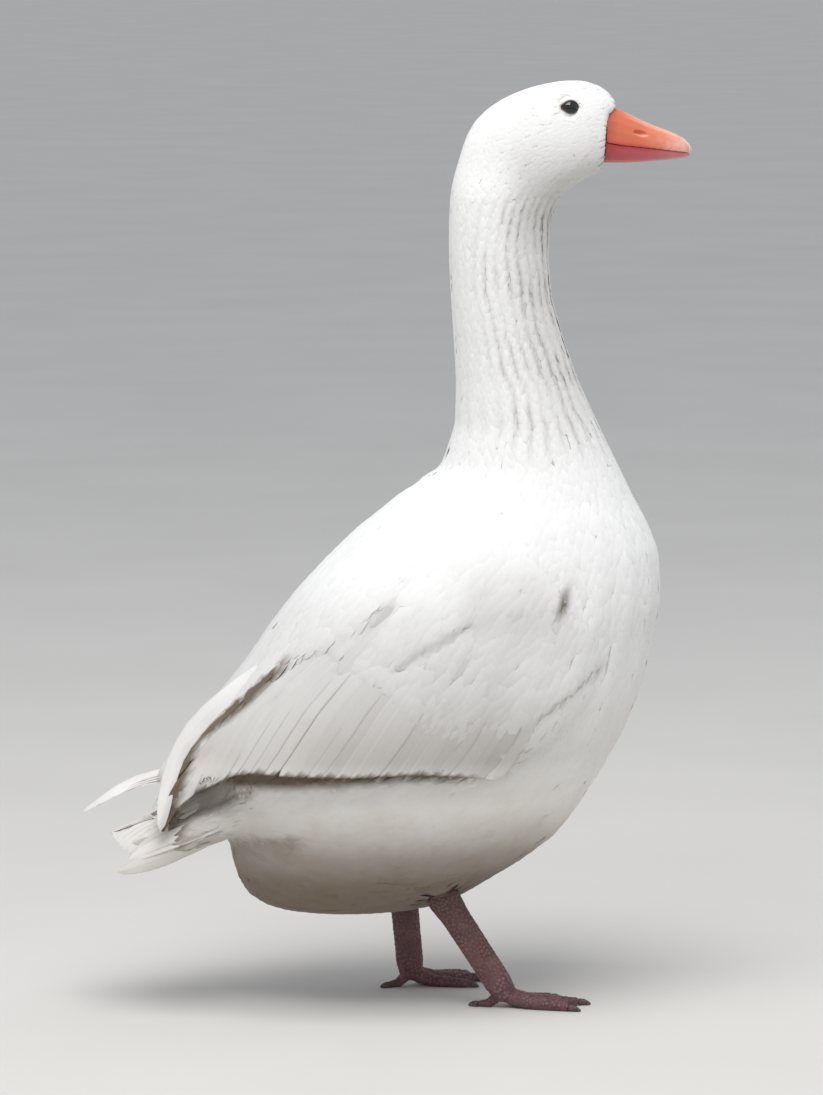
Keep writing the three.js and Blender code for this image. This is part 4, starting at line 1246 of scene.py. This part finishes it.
upper_horn = horn("orange_bill_horn", [
    (0.0, "#B0584C"), (0.1, "#D2694A"), (0.35, "#D97450"), (0.6, "#E58A70"), (0.82, "#F2B8AA"),
    (1.0, "#F3CABF"),
], "#CC4436", "#D9683C")
lower_horn = horn("pink_bill_horn", [
    (0.0, "#8E2C38"), (0.16, "#BC4048"), (0.5, "#CB545C"), (0.95, "#DA8A86"),
], "#B93C3E", "#B95662")
nail_horn = horn("pale_nail_horn", [
    (0.0, "#E8B49C"), (0.5, "#EBC0AC"), (0.9, "#F0D0C2"), (1.0, "#F2D8CC"),
], "#F0D5CF", "#E6B8A6")
for node, material, grain in (
    ("bill_upper", upper_horn, BILL_GRAIN),
    ("bill_lower", lower_horn, BILL_GRAIN),
    ("bill_nail", nail_horn, NAIL_GRAIN),
):
    points, quads = fused([node], 0.3 if node == "bill_lower" else 0.0, grain, 3)
    piece = surface(node.replace("bill_", "horn_"), points, quads, material)
    along, up = bill_place(points)
    marked(piece, "along", np.clip(along / BILL_LONG, 0, 1))
    off_mouth = up - np.interp(along, *MOUTH.T)
    marked(piece, "rim", 0.85 * np.exp(-((off_mouth / 2.6) ** 2)) * fade(along, 62, 20))
    # The painted highlight on the crest, where the horn faces up.
    marked(piece, "crest_highlight", 0.55 * fade(outward(points, quads)[:, 2], 0.55, 0.95) * fade(along, 4, 24))
    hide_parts(node)

# ---------------------------------------------------------------------------
# The legs and webbed feet. Tough dull skin over sinew and bone, covered in
# small domed scales of horn down the shank and along the toes, with fine folds
# in the webs between them.
TOES = ("inner", "middle", "outer", "hind")
FEET_GRAIN = 1.1
SCALE_GAP = 2.7
TOE_HALF = 6.4
# Shanks are scaled from the instep up to here.
INSTEP = 14
SCALED_TOP = 96
# A scale's rings: share of its size, then height. Its middle stands up, and its root goes in.
SCALE_RINGS = ((1.0, -0.15), (0.66, 0.2))
SCALE_CROWN = 0.27
SCALE_ROOT = 0.5
SIX = [(math.cos(a), math.sin(a)) for a in (math.pi / 3 * j + 0.3 for j in range(6))]


def darker_up_the_shank(tree, place, clouds, ramp, upper_colour):
    """Blotched skin that turns to a darker colour from 30 to 85 mm up, towards the belly."""
    blotch = add(tree, "TexNoise", {"Vector": place, "Scale": clouds, "Detail": 4.0})
    tint = add(tree, "ValToRGB", {"Fac": blotch}, ramp)
    above = add(tree, "SeparateXYZ", {"Vector": place}, give="Z")
    high = add(tree, "MapRange", {"Value": above, "From Min": 0.03, "From Max": 0.085, "To Max": 0.8})
    return add(tree, "Mix", {"Factor": high, 6: tint, 7: upper_colour}, data_type="RGBA")


# Leg and web skin: dull red-brown hide, netted with folds 1.6 mm apart, darkened with painted shade.
leg_skin, tree, shader = finish("dull_leg_skin", Roughness=0.6, IOR=1.45)
place = add(tree, "TexCoord", give="Object")
net = add(tree, "TexVoronoi", {"Vector": place, "Scale": 620.0}, feature="DISTANCE_TO_EDGE")
# Painted shade in the folds of the net.
crease_shade = add(tree, "MapRange", {"Value": net, "From Max": 0.12, "To Min": 0.5, "To Max": 0.0})
shank_tint = darker_up_the_shank(tree, place, 60.0, [(0.3, "#57393A"), (0.55, "#745052"), (0.75, "#886667")], "#4E372F")
dark = add(tree, "Mix", {"Factor": crease_shade, 6: shank_tint, 7: "#3C2423"}, data_type="RGBA")
ruffle = add(tree, "Bump", {"Height": net, "Strength": 0.6, "Distance": 0.0006})
coloured(tree, shader, dark, ruffle)

# Scales of horn: a little paler and brighter than the skin, with a grain under a millimetre.
plates, tree, shader = finish("leg_scales", Roughness=0.5, IOR=1.5)
place = add(tree, "TexCoord", give="Object")
fine = add(tree, "TexNoise", {"Vector": place, "Scale": 1400.0, "Detail": 2.0})
shank_tint = darker_up_the_shank(tree, place, 90.0, [(0.3, "#5E3F40"), (0.55, "#7A5657"), (0.75, "#8E6C6C")], "#5C443A")
ruffle = add(tree, "Bump", {"Height": fine, "Strength": 0.3, "Distance": 0.0002})
coloured(tree, shader, shank_tint, ruffle)

for side in ("right", "left"):
    points, quads = fused([f"shank_{side}", f"foot_{side}"], 0.25, FEET_GRAIN, 3)
    normals = outward(points, quads)
    low = points[:, 2] < 0.6
    points[low, 2] = np.maximum(points[low, 2], 0.05)
    leg = surface(f"leg_{side}", points, quads, leg_skin)
    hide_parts(f"shank_{side}", f"foot_{side}")
    leg_tree = BVHTree.FromPolygons(points.tolist(), quads.tolist())
    toes = [np.array((lo + hi) / 2 * 1000)[:2] for lo, hi in (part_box(f"claw_{side}_{toe}") for toe in TOES)]
    heel = np.array([toes[3][0] + 17, (toes[3][1] + toes[1][1]) / 2])

    def on_scaled(spots):
        fits = (spots[:, 2] > INSTEP).astype(float)
        for end in toes[:3]:
            step = end - heel
            share = np.clip(((spots[:, :2] - heel) @ step) / (step @ step), 0, 1)
            far = np.linalg.norm(spots[:, :2] - heel - share[:, None] * step, axis=1)
            fits = np.maximum(fits, (far < TOE_HALF) & (spots[:, 2] > 3.0))
        return fits * (spots[:, 2] < SCALED_TOP)

    crowns, corners = [], []
    chance = np.random.default_rng(32)
    for seat in scattered(points, quads, lambda p: np.full(len(p), SCALE_GAP), on_scaled, 31):
        face = leg_tree.find_nearest(Vector(seat))[2]
        normal = normals[quads[face]].mean(0)
        normal /= np.linalg.norm(normal)
        one = np.cross(normal, [0.3, 0.1, 1.0])
        one /= np.linalg.norm(one)
        two = np.cross(normal, one)
        size = SCALE_GAP * (0.6 + 0.06 * chance.random())
        start = len(crowns)
        for share, rise in SCALE_RINGS:
            crowns += [seat + share * size * (c * one + s * two) + rise * normal for c, s in SIX]
        crowns += [seat + SCALE_CROWN * normal, seat - SCALE_ROOT * normal]
        for j in range(6):
            a, b = start + j, start + (j + 1) % 6
            corners += [(a, b, b + 6), (a, b + 6, a + 6), (a + 6, b + 6, start + 12), (b, a, start + 13)]
    scales = surface(f"scales_{side}", np.array(crowns), np.array(corners), plates)

# ---------------------------------------------------------------------------
# The claws. Blunt curved horn, one at the end of each toe, grown over the last
# bone and worn at the tip; dark and half bright.
CLAW_GRAIN = 0.45
CLAW_GROW = 0.1

# Claw horn in layers about 2 mm long, dark brown to grey-brown.
claw_horn, tree, shader = finish("claw_horn", Roughness=0.4, IOR=1.54)
place = add(tree, "TexCoord", give="Object")
layers = add(tree, "TexNoise", {"Vector": place, "Scale": 500.0, "Detail": 3.0})
tint = add(tree, "ValToRGB", {"Fac": layers}, [(0.3, "#3E2E2A"), (0.7, "#6E5850")])
ruffle = add(tree, "Bump", {"Height": layers, "Strength": 0.3, "Distance": 0.0002})
coloured(tree, shader, tint, ruffle)
for side in ("right", "left"):
    for toe in TOES:
        points, quads = fused([f"claw_{side}_{toe}"], CLAW_GROW, CLAW_GRAIN, 3)
        claw = surface(f"nail_{side}_{toe}", points, quads, claw_horn)
        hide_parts(f"claw_{side}_{toe}")
